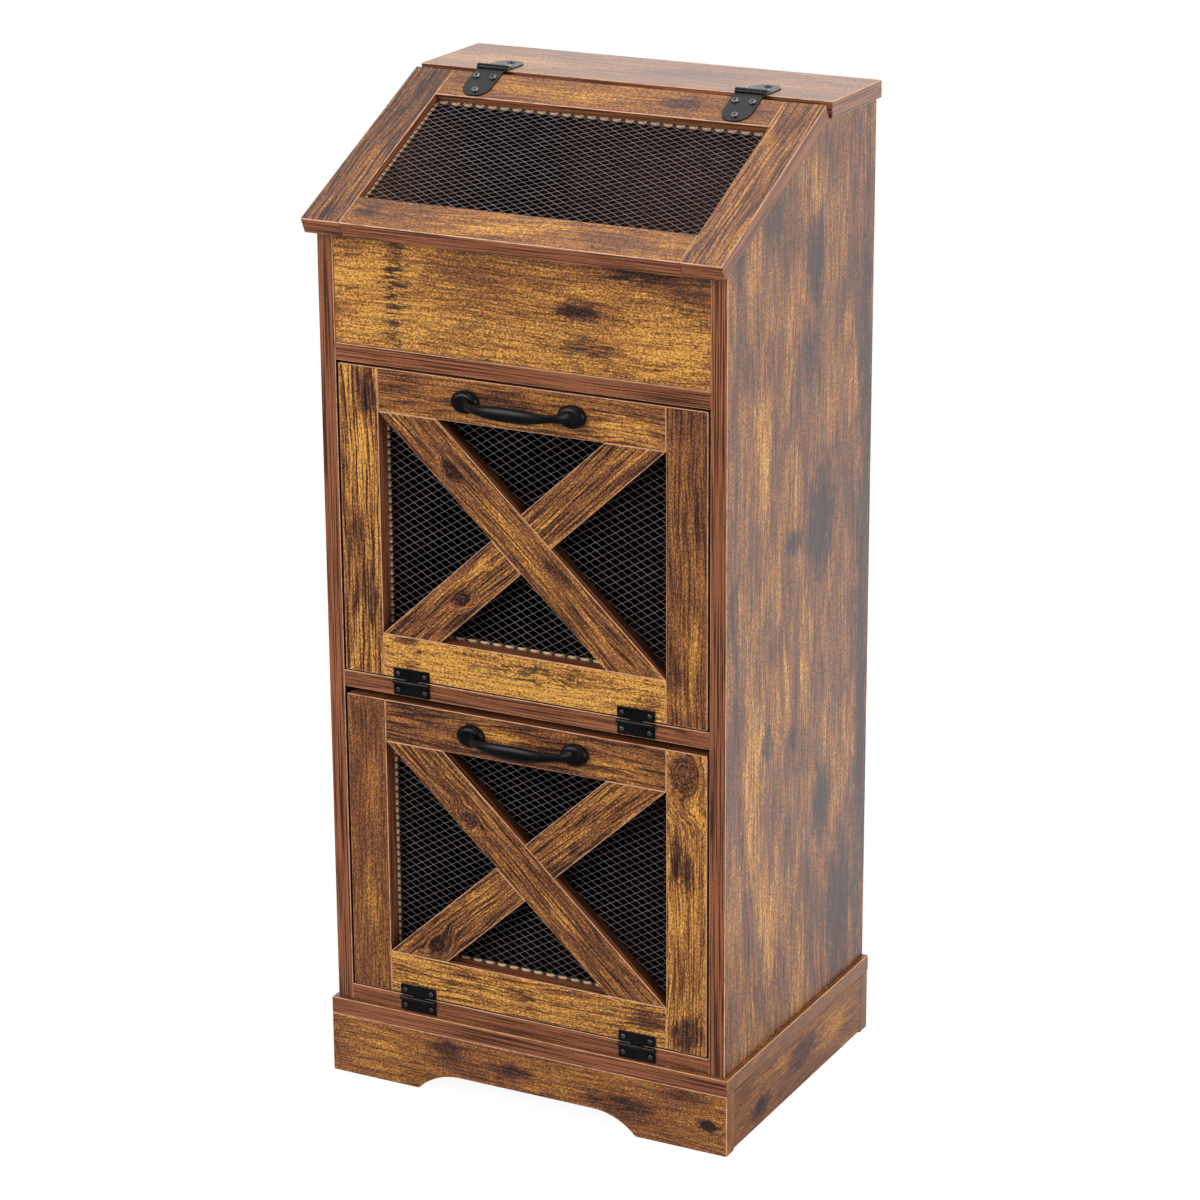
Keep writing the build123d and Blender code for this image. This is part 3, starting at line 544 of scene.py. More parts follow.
def ramp(tree, value, low, high, start=0.0, end=1.0):
    """A value carried smoothly from one range to another and held at its ends."""
    inputs = {"Value": value, "From Min": low, "From Max": high, "To Min": start, "To Max": end}
    return output_of(tree, "ShaderNodeMapRange", inputs, interpolation_type="SMOOTHSTEP")


def noise(tree, place, scale, detail=3.0, roughness=0.5, distortion=0.0):
    """A noise pattern's value."""
    return output_of(tree, "ShaderNodeTexNoise", {
        "Vector": place, "Scale": scale, "Detail": detail, "Roughness": roughness,
        "Distortion": distortion,
    })


def grain_noise(tree, place, along, across, detail=2.0, roughness=0.5, distortion=0.0):
    """A noise pattern drawn out along the grain, by its scales along and across it."""
    stretched = vector_calc(tree, "MULTIPLY", place, (along, across, 1.0))
    return noise(tree, stretched, 1.0, detail, roughness, distortion)


def between(tree, share, first, second):
    """A number part of the way from one to another."""
    return output_of(tree, "ShaderNodeMix", {0: share, 2: first, 3: second}, data_type="FLOAT")


def mixed(tree, share, first, second):
    """Two colours mixed."""
    made = add_node(tree, "ShaderNodeMix", {0: share, 6: first, 7: second}, data_type="RGBA")
    return made.outputs[2]


def colour_ramp(tree, value, stops):
    """A value turned to a colour."""
    made = add_node(tree, "ShaderNodeValToRGB", {"Fac": value})
    elements = made.color_ramp.elements
    while len(elements) < len(stops):
        elements.new(0.5)
    for element, (place, colour) in zip(elements, stops):
        element.position = place
        element.color = colour
    return made.outputs["Color"]


def scaled(colour, factor, lift=0.0):
    """A colour made darker or lighter."""
    return [min(share * factor + lift, 1.0) for share in colour[:3]] + [1.0]


def coordinates(tree, kind="Object"):
    """Texture coordinates: an object's own, unless another kind is named."""
    return tree.nodes.new("ShaderNodeTexCoord").outputs[kind]


def new_group(name, inputs, outputs, kind="ShaderNodeTree"):
    """A node group with its sockets, its input node and its output node."""
    tree = bpy.data.node_groups.new(name, kind)
    for way, sockets in (("INPUT", inputs), ("OUTPUT", outputs)):
        for label, socket in sockets.items():
            tree.interface.new_socket(name=label, in_out=way, socket_type="NodeSocket" + socket)
    return tree, tree.nodes.new("NodeGroupInput").outputs, tree.nodes.new("NodeGroupOutput").inputs


def use_group(tree, group, inputs):
    """The outputs of a node that runs a group."""
    return add_node(tree, "ShaderNodeGroup", inputs, node_tree=group).outputs


def new_material(name):
    """A material with only its shader and output."""
    material = bpy.data.materials.new(name)
    material.use_nodes = True
    tree = material.node_tree
    tree.nodes.clear()
    output = tree.nodes.new("ShaderNodeOutputMaterial")
    shader = tree.nodes.new("ShaderNodeBsdfPrincipled")
    tree.links.new(shader.outputs[0], output.inputs["Surface"])
    return material, tree, shader


def set_bump(tree, shader, height, distance, strength):
    """Drives a shader's normal from a height."""
    bump = {"Height": height, "Distance": distance, "Strength": strength}
    tree.links.new(output_of(tree, "ShaderNodeBump", bump), shader.inputs["Normal"])


# ---- The foil's node groups ----


def board_axes_group():
    """Turns an object's own coordinates and normal to a board's grain."""
    axes = ("Along", "Across", "Out")
    tree, given, result = new_group(
        "Board axes", dict.fromkeys(axes, "Vector"), {"Place": "Vector", "Facing": "Vector"})
    for label, kind in (("Place", "Object"), ("Facing", "Normal")):
        source = coordinates(tree, kind)
        parts = [vector_calc(tree, "DOT_PRODUCT", source, given[axis]) for axis in axes]
        tree.links.new(combined(tree, *parts), result[label])
    return tree


def stain_group():
    """Adds an amount to a value inside a ragged oval."""
    tree, given, result = new_group("Stain", {
        "Place": "Vector", "Value": "Float", "Centre": "Vector", "Size": "Vector", "Amount": "Float",
    }, {"Value": "Float"})
    ragged = add_node(tree, "ShaderNodeTexNoise", {
        "Vector": vector_calc(tree, "MULTIPLY", given["Place"], (0.35, 1.0, 1.0)),
        "Scale": 190.0, "Detail": 6.0, "Roughness": 0.72,
    }).outputs["Color"]
    shift = vector_calc(tree, "SUBTRACT", ragged, (0.5, 0.5, 0.5))
    shift = vector_calc(tree, "MULTIPLY", shift, (2.6, 2.6, 0.0))
    away = vector_calc(tree, "SUBTRACT", given["Place"], given["Centre"])
    away = vector_calc(tree, "DIVIDE", away, given["Size"])
    away = vector_calc(tree, "ADD", away, shift)
    away = vector_calc(tree, "MULTIPLY", away, (1.0, 1.0, 0.0))
    mask = ramp(tree, vector_calc(tree, "LENGTH", away), 1.30, 0.35)
    tree.links.new(calc(tree, "MULTIPLY_ADD", mask, given["Amount"], given["Value"]), result["Value"])
    return tree


def knot_group():
    """Bends the grain round a knot and darkens its heart."""
    tree, given, result = new_group("Knot", {
        "Place": "Vector", "Dark": "Float", "Centre": "Vector", "Radius": "Float",
    }, {"Place": "Vector", "Dark": "Float"})
    away = separated(tree, vector_calc(tree, "SUBTRACT", given["Place"], given["Centre"]))
    flat = combined(tree, product(tree, away[0], 0.75), away[1])
    distance = vector_calc(tree, "LENGTH", flat)
    wobble = calc(tree, "MULTIPLY_ADD", noise(tree, given["Place"], 160.0), 0.7, -0.35)
    shares = added(tree, calc(tree, "DIVIDE", distance, given["Radius"]), wobble)

    # Nearest the heart, the grain runs round it at an even distance
    pull = ramp(tree, shares, 3.2, 0.7)
    straight = product(tree, away[1], less(tree, 1.0, pull))
    centre = separated(tree, given["Centre"])
    along = calc(tree, "MULTIPLY_ADD", away[0], calc(tree, "MULTIPLY_ADD", pull, -0.8, 1.0), centre[0])
    across = added(tree, straight, product(tree, distance, pull), centre[1])
    tree.links.new(combined(tree, along, across), result["Place"])

    heart = product(tree, ramp(tree, shares, 1.2, 0.8), ramp(tree, shares, 0.15, 0.85, 0.45, 1.0))
    tree.links.new(calc(tree, "MAXIMUM", given["Dark"], heart), result["Dark"])
    return tree


def print_colour(tree, tone, settings):
    """The print's colour for a tone from 0, the darkest, to 1."""
    return colour_ramp(tree, tone, [
        (0.0, settings.shadow), (0.26, settings.dark), (0.52, settings.brown),
        (0.76, settings.honey), (1.0, settings.bright),
    ])


def printed_face(tree, given, place, bent, settings):
    """The print on a board's faces: its colour, how rough it is and how high."""
    waver = grain_noise(tree, place, 5.0, 14.0, 3.0)
    push = combined(tree, 0.0, calc(tree, "MULTIPLY_ADD", waver, 0.024, -0.012))
    grain = vector_calc(tree, "ADD", bent, push)

    clouds = grain_noise(tree, place, 12.0, 36.0, 6.0, 0.6, 0.5)
    mottle = grain_noise(tree, grain, 100.0, 240.0, 4.0, 0.65, 0.3)
    streaks = grain_noise(tree, grain, 6.0, 230.0, 4.0, 0.6)
    lines = grain_noise(tree, grain, 20.0, 560.0, 2.0, 0.55)
    grit = grain_noise(tree, place, 430.0, 640.0, 2.0, 0.7)
    fine = grain_noise(tree, grain, 90.0, 1500.0, 2.0, 0.6)
    specks = grain_noise(tree, place, 300.0, 480.0, 3.0, 0.6)
    line_swing = ramp(tree, lines, 0.38, 0.62, -0.5, 0.5)
    grit_swing = ramp(tree, grit, 0.36, 0.64, -0.5, 0.5)

    # Broad tones, broken up by the lines and the grit, and darkened in a knot's heart
    tone = added(
        tree, given["Tone"], swing(tree, clouds, given["Patches"]), swing(tree, mottle, 0.30),
        swing(tree, streaks, calc(tree, "MULTIPLY_ADD", given["Lines"], 0.62, 0.12)),
        product(tree, line_swing, given["Lines"], 0.34),
        product(tree, grit_swing, given["Grit"], 0.26),
    )
    tone = less(tree, tone, product(tree, given["Dark"], ramp(tree, grit, 0.3, 0.7, 0.62, 0.30)))
    printed = print_colour(tree, tone, settings)

    # Thin dark lines, grit and pores, as a change of brightness
    thin = product(tree, ramp(tree, lines, 0.47, 0.40), given["Lines"], 0.48)
    light = product(tree, grit_swing, given["Grit"], 0.36)
    brightness = less(tree, added(tree, 1.05, light, swing(tree, fine, 0.34)), thin)
    shaded = output_of(
        tree, "ShaderNodeVectorMath", {0: printed, "Scale": brightness}, operation="SCALE")

    # Short dark checks, and specks where the print is light
    checks = grain_noise(tree, place, 66.0, 310.0, 2.0, 0.5, 0.9)
    placed = product(tree, ramp(tree, checks, 0.49, 0.53), given["Cracks"])
    stray = product(tree, ramp(tree, checks, 0.64, 0.69), ramp(tree, tone, 0.50, 0.70), 0.8)
    check_mask = calc(tree, "MAXIMUM", placed, stray)
    marked = mixed(tree, ramp(tree, specks, 0.60, 0.67, 0.0, 0.55), shaded, settings.dark)
    marked = mixed(tree, product(tree, check_mask, 0.9), marked, settings.shadow)

    roughness = less(tree, calc(tree, "MULTIPLY_ADD", mottle, 0.14, 0.33), product(tree, lines, 0.06))
    height = added(tree, product(tree, lines, 0.6), product(tree, fine, 0.4))
    return marked, roughness, less(tree, height, check_mask)


def banded_edge(tree, given, place, toward, settings):
    """The band round a board's edges, with lines that follow each edge, and painted shade on the braces'
    sides below their lit depth.
    """
    at_end = calc(tree, "GREATER_THAN", toward[0], end_facing)
    apart = separated(tree, place)
    through = separated(tree, given["Place"])[2]
    spot = combined(tree, between(tree, at_end, apart[0], apart[1]), through)
    lines = grain_noise(tree, spot, 9.0, 860.0)
    patches = grain_noise(tree, spot, 34.0, 100.0, 6.0, 0.7)
    grit = grain_noise(tree, spot, 420.0, 640.0, 2.0, 0.6)
    tone = added(
        tree, 0.60, ramp(tree, lines, 0.38, 0.60, -0.62, 0.44), swing(tree, patches, 0.5),
        swing(tree, grit, 0.9),
    )
    band = colour_ramp(tree, tone, [
        (0.12, scaled(settings.band, 0.32)), (0.5, settings.band), (0.9, scaled(settings.band, 1.6)),
    ])

    # Wrapped boards carry the print round their ends
    end_tone = added(tree, given["Tone"], swing(tree, patches, 0.9), swing(tree, grit, 0.5))
    wrapped_end = product(tree, at_end, given["Wrapped"])
    band = mixed(tree, wrapped_end, band, print_colour(tree, end_tone, settings))

    # Painted shade darkens the edges below their lit depth
    depth = less(tree, given["Front"], through)
    shade = ramp(tree, depth, settings.lit_depth, settings.lit_depth + shade_run)
    return mixed(tree, product(tree, shade, given["Shade"]), band, settings.inner)


def painted_arris_highlight(tree, given, toward, behind, on_face):
    """How much painted highlight a spot gets: on the eased corners, and in a thin line beside them,
    broken up by noise.
    """
    flat = calc(tree, "MAXIMUM", calc(tree, "MAXIMUM", toward[0], toward[1]), toward[2])
    on_corner = product(
        tree, calc(tree, "LESS_THAN", flat, flat_facing),
        calc(tree, "GREATER_THAN", toward[2], arris_facing),
        calc(tree, "GREATER_THAN", given["Rub"], 0.0),
        less(tree, 1.0, product(tree, behind, given["Wrapped"])),
    )
    away = vector_calc(tree, "ABSOLUTE", vector_calc(tree, "SUBTRACT", given["Place"], given["Middle"]))
    inset = separated(tree, vector_calc(tree, "SUBTRACT", given["Half"], away))
    beside = calc(tree, "LESS_THAN", calc(tree, "MINIMUM", inset[0], inset[1]), given["Rub"])
    on_arris = calc(tree, "MAXIMUM", on_corner, product(tree, beside, on_face))
    highlight_breakup = noise(tree, given["Place"], 90.0)
    return product(tree, on_arris, ramp(tree, highlight_breakup, 0.25, 0.6, 0.35, 0.85))


def foil_group(settings):
    """The whole printed foil: faces, banded edges, painted highlights on the arrises, and painted shade
    on inner faces and the braces' sides.
    """
    vectors = ("Place", "Bent", "Facing", "Middle", "Half")
    numbers = ("Tone", "Cracks", "Dark", "Lines", "Patches", "Grit", "Inner", "Seed", "Rub", "Wrapped",
               "Front", "Shade")
    tree, given, result = new_group(
        "Rustic foil", dict.fromkeys(vectors, "Vector") | dict.fromkeys(numbers, "Float"),
        {"Colour": "Color", "Roughness": "Float", "Height": "Float"},
    )
    facing = separated(tree, given["Facing"])
    toward = [calc(tree, "ABSOLUTE", facing[index]) for index in range(3)]
    behind = calc(tree, "LESS_THAN", facing[2], 0.0)
    on_face = calc(tree, "GREATER_THAN", toward[2], flat_facing)

    # Each board, and each side of it, takes its own part of the pattern
    sheet = calc(tree, "MULTIPLY_ADD", behind, 37.0, given["Seed"])
    move = combined(tree, product(tree, sheet, 0.731), product(tree, sheet, 0.417))
    place = vector_calc(tree, "ADD", given["Place"], move)
    bent = vector_calc(tree, "ADD", given["Bent"], move)

    marked, roughness, height = printed_face(tree, given, place, bent, settings)
    # Painted shade: faces turned inwards are darkened towards the inner colour
    face = mixed(tree, product(tree, behind, given["Inner"]), marked, settings.inner)
    band = banded_edge(tree, given, place, toward, settings)
    board = mixed(tree, on_face, band, face)
    arris_highlight = painted_arris_highlight(tree, given, toward, behind, on_face)
    # Painted highlight along the arrises, in the arris colour
    tree.links.new(mixed(tree, arris_highlight, board, settings.arris), result["Colour"])
    tree.links.new(calc(tree, "MULTIPLY_ADD", behind, 0.4, roughness), result["Roughness"])
    tree.links.new(height, result["Height"])
    return tree


def inner_shade_share(tree, node):
    """How much painted shade darkens a board's inner faces: least in the top bin."""
    if node.startswith(panels):
        return panel_shade
    floor = extent("upper_shelf", directions["up"])[1]
    height = separated(tree, coordinates(tree))[2]
    return ramp(tree, height, floor - shade_run, floor, carcass_shade, bin_shade)


def foil_material(node, spec, groups):
    """One board's foil, with its own stains, checks and knots."""
    material, tree, shader = new_material(node + "_foil")
    ways = [directions[name] for name in spec.kind]
    axes = use_group(tree, groups["axes"], dict(zip(("Along", "Across", "Out"), ways)))
    low, high = zip(*(extent(node, way) for way in ways))

    def point(along, across):
        return (low[0] + (high[0] - low[0]) * along, low[1] + (high[1] - low[1]) * across, 0.0)

    sums = []
    for total, ovals in ((spec.tone, spec.stains), (0.0, spec.cracks)):
        for along, across, length, width, amount in ovals:
            total = use_group(tree, groups["stain"], {
                "Place": axes["Place"], "Value": total, "Centre": point(along, across),
                "Size": (length / 1000, width / 1000, 1.0), "Amount": amount,
            })["Value"]
        sums.append(total)
    bent = axes["Place"]
    dark = 0.0
    for along, across, radius in spec.knots:
        knot = use_group(tree, groups["knot"], {
            "Place": bent, "Dark": dark, "Centre": point(along, across), "Radius": radius / 1000,
        })
        bent = knot["Place"]
        dark = knot["Dark"]
    foil = use_group(tree, groups["foil"], {
        "Place": axes["Place"], "Bent": bent, "Facing": axes["Facing"], "Middle": point(0.5, 0.5),
        "Half": ((high[0] - low[0]) / 2, (high[1] - low[1]) / 2, 0.0), "Front": high[2],
        "Tone": sums[0], "Cracks": sums[1], "Dark": dark, "Lines": spec.lines, "Seed": spec.seed,
        "Patches": spec.patches, "Grit": spec.grit, "Rub": spec.highlight_width, "Wrapped": spec.wrapped,
        "Inner": inner_shade_share(tree, node), "Shade": brace_shade if "brace" in node else 0.0,
    })
    feed(tree, shader, {
        "Base Color": foil["Colour"], "Roughness": foil["Roughness"], "Specular IOR Level": spec.sheen,
    })
    set_bump(tree, shader, foil["Height"], 0.00012, 0.6)
    return material


# ---- Other finishes ----


def coat_material(name, colour, roughness, scale, metallic=0.0, bump=0.00006, sheen=0.5):
    """A painted or plated finish, with a fine grain and a slightly uneven gloss."""
    material, tree, shader = new_material(name)
    place = coordinates(tree)
    broad = ramp(tree, noise(tree, place, 60.0), 0.3, 0.7)
    grain = noise(tree, place, scale, 3.0, 0.6)
    feed(tree, shader, {
        "Base Color": mixed(tree, broad, scaled(colour, 0.72), scaled(colour, 1.25, 0.002)),
        "Roughness": ramp(tree, grain, 0.3, 0.7, roughness - 0.06, roughness + 0.08),
        "Metallic": metallic, "Specular IOR Level": sheen,
    })
    set_bump(tree, shader, grain, bump, 0.5)
    return material


def beech_material(name, colour):
    """Plain turned wood, with pale and dark flecks."""
    material, tree, shader = new_material(name)
    place = coordinates(tree)
    flecks = noise(tree, place, 260.0, 4.0, 0.7)
    tone = added(tree, product(tree, flecks, 0.7), product(tree, noise(tree, place, 40.0), 0.3))
    feed(tree, shader, {
        "Base Color": colour_ramp(tree, tone, [
            (0.3, scaled(colour, 0.62)), (0.5, colour), (0.7, scaled(colour, 1.25)),
        ]),
        "Roughness": ramp(tree, flecks, 0.3, 0.7, 0.72, 0.9),
    })
    set_bump(tree, shader, flecks, 0.0001, 0.6)
    return material


def strip_material(name, panel, diamond, settings, coat):
    """Strips with raw edges and a brown back, with painted shadow in the black coat's colour wherever a
    row of bonds crosses them.
    """
    material, tree, shader = new_material(name)
    place = coordinates(tree)
    across_axis, up_axis, out_axis = (tuple(panel["place"].col[index][:3]) for index in range(3))
    middle = vector_calc(tree, "SUBTRACT", place, tuple(panel["place"].translation))
    across = vector_calc(tree, "DOT_PRODUCT", middle, across_axis)
    up = vector_calc(tree, "DOT_PRODUCT", middle, up_axis)
    # The uprights start at the window's side, less what shows of them and a tenth of a millimetre
    edge = panel["window"][0] / 2 - settings.strip_show - 0.0001
    on_upright = calc(tree, "GREATER_THAN", calc(tree, "ABSOLUTE", across), edge)
    waves = [
        calc(tree, "FRACT", calc(tree, "DIVIDE", value, size))
        for value, size in zip((across, up), diamond)
    ]
    ragged = calc(tree, "MULTIPLY_ADD", noise(tree, place, 900.0, 2.0), 0.16, -0.08)
    wave = added(tree, between(tree, on_upright, *waves), ragged)
    # Painted shadow: dark bands where the rows of bonds cross the strips
    bond_shadow = product(tree, ramp(tree, wave, 0.60, 0.68), ramp(tree, wave, 0.99, 0.93), 0.95)
    grain = noise(tree, place, 1200.0, 3.0, 0.7)
    flecks = ramp(tree, grain, 0.3, 0.7)
    raw = mixed(tree, flecks, scaled(settings.strip, 0.75), settings.strip)
    back = mixed(tree, flecks, settings.strip_back_dark, settings.strip_back)
    out = vector_calc(tree, "DOT_PRODUCT", coordinates(tree, "Normal"), out_axis)
    bare = mixed(tree, calc(tree, "LESS_THAN", out, -flat_facing), raw, back)
    feed(tree, shader, {
        "Base Color": mixed(tree, bond_shadow, bare, coat),
        "Roughness": ramp(tree, grain, 0.3, 0.7, 0.6, 0.8),
    })
    set_bump(tree, shader, grain, 0.00008, 0.5)
    return material


def dress(material, *names):
    """Gives CAD nodes one material."""
    for node in names:
        nodes[node].data.materials.clear()
        nodes[node].data.materials.append(material)


# ---- Panels: where a door's or the lid's mesh is fixed ----


def panel_frame(prefix):
    """A mesh panel's place: a matrix at the window's middle on the frame's back, and its sizes."""
    across = directions["across"]
    up = directions["up_slope" if prefix == "lid" else "up"]
    out = across.cross(up)
    left, right, low, high = window(prefix, up)
    back = extent(prefix + "_mesh", out)[1]
    place = Matrix((across, up, out)).transposed().to_4x4()
    place.translation = across * (left + right) / 2 + up * (low + high) / 2 + out * back
    sheet = [extent(prefix + "_mesh", way) for way in (across, up)]
    return {
        "place": place,
        "window": (right - left, high - low),
        "sheet": [end - start for start, end in sheet],
    }


def diamonds(prefix, panel, settings):
    """How many whole diamonds and strands fill a panel's sheet, and a diamond's size there."""
    across, up = panel["sheet"]
    waves = round((across - settings.bond) / settings.pitch_across - 0.5)
    strands = round(up / (getattr(settings, prefix + "_pitch") / 2))
    return (waves, strands), ((across - settings.bond) / (waves + 0.5), 2 * up / strands)


def strand_depth(settings):
    """How deep the twisted strands are, through the sheet."""
    twist = abs(settings.twist)
    return settings.strand_thickness * math.cos(twist) + settings.strand_width * math.sin(twist)


def grown_mesh(source, group, inputs, place):
    """The plain mesh that a Geometry Nodes group makes from a source mesh, in its place."""
    holder = bpy.data.objects.new("holder", source)
    bpy.context.scene.collection.objects.link(holder)
    modifier = holder.modifiers.new("Shape", "NODES")
    modifier.node_group = group
    for item in group.interface.items_tree:
        if item.in_out == "INPUT" and item.name in inputs:
            modifier[item.identifier] = inputs[item.name]
    bpy.context.view_layer.update()
    evaluated = holder.evaluated_get(bpy.context.evaluated_depsgraph_get())
    made = bpy.data.meshes.new_from_object(evaluated)
    bpy.data.objects.remove(holder)
    made.transform(place)
    made.update()
    return made


def add_piece(name, mesh, body):
    """A finished piece at the origin, riding on its body."""
    piece = bpy.data.objects.new(name, mesh)
    bpy.context.scene.collection.objects.link(piece)
    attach(piece, body)
    return piece


def geometry_group(name, numbers, counts):
    """A geometry node group that takes numbers, whole numbers and a finish."""
    inputs = {"Geometry": "Geometry"} | dict.fromkeys(numbers, "Float") | dict.fromkeys(counts, "Int")
    inputs["Finish"] = "Material"
    return new_group(name, inputs, {"Geometry": "Geometry"}, "GeometryNodeTree")


def dotted_curve(tree, count, spot):
    """A curve through a number of points, each put in its place."""
    line = output_of(tree, "GeometryNodeMeshLine", {"Count": count, "Offset": (0.001, 0.0, 0.0)})
    moved = output_of(tree, "GeometryNodeSetPosition", {"Geometry": line, "Position": spot})
    return output_of(tree, "GeometryNodeMeshToCurve", {"Mesh": moved})


def drawn_wire(tree, curve, profile):
    """A solid wire with closed ends: a profile carried along a curve."""
    return output_of(tree, "GeometryNodeCurveToMesh", {
        "Curve": curve, "Profile Curve": profile, "Fill Caps": True,
    })


def finish_group(tree, given, result, copies):
    """Ends a geometry group: copies made real, with their material."""
    real = output_of(tree, "GeometryNodeRealizeInstances", {0: copies})
    painted = output_of(tree, "GeometryNodeSetMaterial", {"Geometry": real, "Material": given["Finish"]})
    tree.links.new(painted, result[0])
    return tree


def expanded_mesh_group():
    """A sheet of wavy strands that meet at bonds, centred on the origin, in the XY plane."""
    tree, given, result = geometry_group(
        "Expanded mesh", ("Diamond width", "Diamond height", "Strand width", "Strand thickness",
                          "Bond length", "Twist"), ("Waves", "Strands"),
    )
    row_height = product(tree, given["Diamond height"], 0.5)

    # One strand: four points a wave, two at its foot and two at its crest
    index = output_of(tree, "GeometryNodeInputIndex")
    wave = calc(tree, "FLOOR", calc(tree, "DIVIDE", index, 4.0))
    step = less(tree, index, product(tree, wave, 4.0))
    half = calc(tree, "FLOOR", calc(tree, "DIVIDE", step, 2.0))
    side_of_bond = less(tree, less(tree, step, product(tree, half, 2.0)), 0.5)
    along = added(
        tree, product(tree, calc(tree, "MULTIPLY_ADD", half, 0.5, wave), given["Diamond width"]),
        product(tree, side_of_bond, given["Bond length"]),
    )
    rise = product(tree, half, less(tree, row_height, given["Strand width"]))
    points = calc(tree, "MULTIPLY_ADD", given["Waves"], 4.0, 2.0)
    curve = dotted_curve(tree, points, combined(tree, along, rise))
    steady = output_of(tree, "GeometryNodeSetCurveNormal", {
        "Curve": curve, "Normal": (0.0, 0.0, 1.0)}, mode="FREE")
    profile = output_of(tree, "GeometryNodeCurvePrimitiveQuadrilateral", {
        "Width": given["Strand thickness"], "Height": given["Strand width"]})
    turned = output_of(tree, "GeometryNodeTransform", {
        "Geometry": profile, "Rotation": combined(tree, 0.0, 0.0, given["Twist"])})
    strand = drawn_wire(tree, steady, turned)

    # Rows of strands, every other one half a diamond along
    rows = output_of(tree, "GeometryNodeMeshLine", {
        "Count": given["Strands"], "Offset": combined(tree, 0.0, row_height)})
    odd = calc(tree, "MODULO", output_of(tree, "GeometryNodeInputIndex"), 2.0)
    shift = combined(tree, product(tree, odd, given["Diamond width"], 0.5))
    shifted = output_of(tree, "GeometryNodeSetPosition", {"Geometry": rows, "Offset": shift})
    copies = output_of(tree, "GeometryNodeInstanceOnPoints", {"Points": shifted, "Instance": strand})
    width = product(tree, added(tree, given["Waves"], 0.5), given["Diamond width"])
    height = product(tree, given["Strands"], row_height)
    centre = combined(tree, product(tree, width, -0.5), product(tree, height, -0.5))
    centred = output_of(tree, "GeometryNodeTransform", {"Geometry": copies, "Translation": centre})
    return finish_group(tree, given, result, centred)


def staple_group():
    """A crowned staple on each point, turned by the point's own angle."""
    tree, given, result = geometry_group("Staples", ("Crown", "Leg", "Wire", "Looseness"), ("Seed",))
    index = output_of(tree, "GeometryNodeInputIndex")
    far = calc(tree, "GREATER_THAN", index, 1.5)
    across = product(tree, less(tree, far, 0.5), given["Crown"])
    outer = calc(tree, "GREATER_THAN", calc(tree, "ABSOLUTE", less(tree, index, 1.5)), 1.0)
    down = product(tree, outer, given["Leg"])
    curve = dotted_curve(tree, 4, combined(tree, across, 0.0, down))
    bends = output_of(tree, "GeometryNodeFilletCurve", {
        "Curve": curve, "Radius": given["Wire"], "Count": 3}, mode="POLY")
    profile = output_of(tree, "GeometryNodeCurvePrimitiveQuadrilateral", {
        "Width": given["Wire"], "Height": given["Wire"]})
    staple = drawn_wire(tree, bends, profile)
    angle = output_of(tree, "GeometryNodeInputNamedAttribute", {"Name": "turn"}, data_type="FLOAT")
    chance = add_node(tree, "FunctionNodeRandomValue", {
        2: product(tree, given["Looseness"], -1.0), 3: given["Looseness"], "Seed": given["Seed"],
    }, data_type="FLOAT").outputs[1]
    turn = combined(tree, 0.0, 0.0, added(tree, angle, chance))
    copies = output_of(tree, "GeometryNodeInstanceOnPoints", {
        "Points": given["Geometry"], "Instance": staple, "Rotation": turn})
    return finish_group(tree, given, result, copies)


def strip_mesh(name, window_size, settings, depth):
    """Four mitred strips round a window, with eased edges, behind the mesh."""
    made = bmesh.new()
    inner = [size / 2 - settings.strip_show for size in window_size]
    outer = [size + settings.strip_width for size in inner]
    corners = ((-1, -1), (1, -1), (1, 1), (-1, 1))
    for near, far in zip(corners, corners[1:] + corners[:1]):
        run = Vector((far[0] - near[0], far[1] - near[1], 0)).normalized() * settings.strip_mitre
        top = [
            made.verts.new(Vector((corner[0] * reach[0], corner[1] * reach[1], depth)) + gap)
            for corner, reach, gap in (
                (near, inner, run), (far, inner, -run), (far, outer, -run), (near, outer, run))
        ]
        bottom = [
            made.verts.new(vertex.co - Vector((0, 0, settings.strip_thickness))) for vertex in top
        ]
        made.faces.new(top)
        made.faces.new(bottom[::-1])
        for first in range(4):
            second = (first + 1) % 4
            made.faces.new((top[first], bottom[first], bottom[second], top[second]))
    bmesh.ops.recalc_face_normals(made, faces=made.faces)
    bmesh.ops.bevel(
        made, geom=list(made.edges), offset=settings.strip_ease, segments=1, affect="EDGES")
    mesh = bpy.data.meshes.new(name)
    made.to_mesh(mesh)
    made.free()
    return mesh


def staple_points(window_size, settings, depth):
    """A mesh of points round a window, each with the angle that its staple lies at."""
    spots = []
    turns = []
    inner = [size / 2 - settings.strip_show for size in window_size]
    for axis, turn in ((0, 0.0), (1, math.pi / 2)):
        other = 1 - axis
        count = max(2, round(2 * inner[axis] / settings.staple_spacing))
        for number in range(count):
            for direction in (-1, 1):
                spot = [0.0, 0.0, depth]
                spot[axis] = -inner[axis] + 2 * inner[axis] * (number + 0.5) / count
                spot[other] = direction * (inner[other] + settings.strip_width * staple_share)
                spots.append(spot)
                turns.append(turn)
    mesh = bpy.data.meshes.new("staple_spots")
    mesh.from_pydata(spots, [], [])
    mesh.attributes.new("turn", "FLOAT", "POINT").data.foreach_set("value", turns)
    return mesh


# ---- Operators ----


class BIN_OT_boards(bpy.types.Operator):
    """Prints and bands every board"""

    bl_idname = "bin.boards"
    bl_label = "Foil the boards"

    def execute(self, context):
        groups = {
            "axes": board_axes_group(), "stain": stain_group(), "knot": knot_group(),
            "foil": foil_group(context.scene.bin_foil),
        }
        for node, spec in prints.items():
            dress(foil_material(node, spec, groups), node)
        return {"FINISHED"}


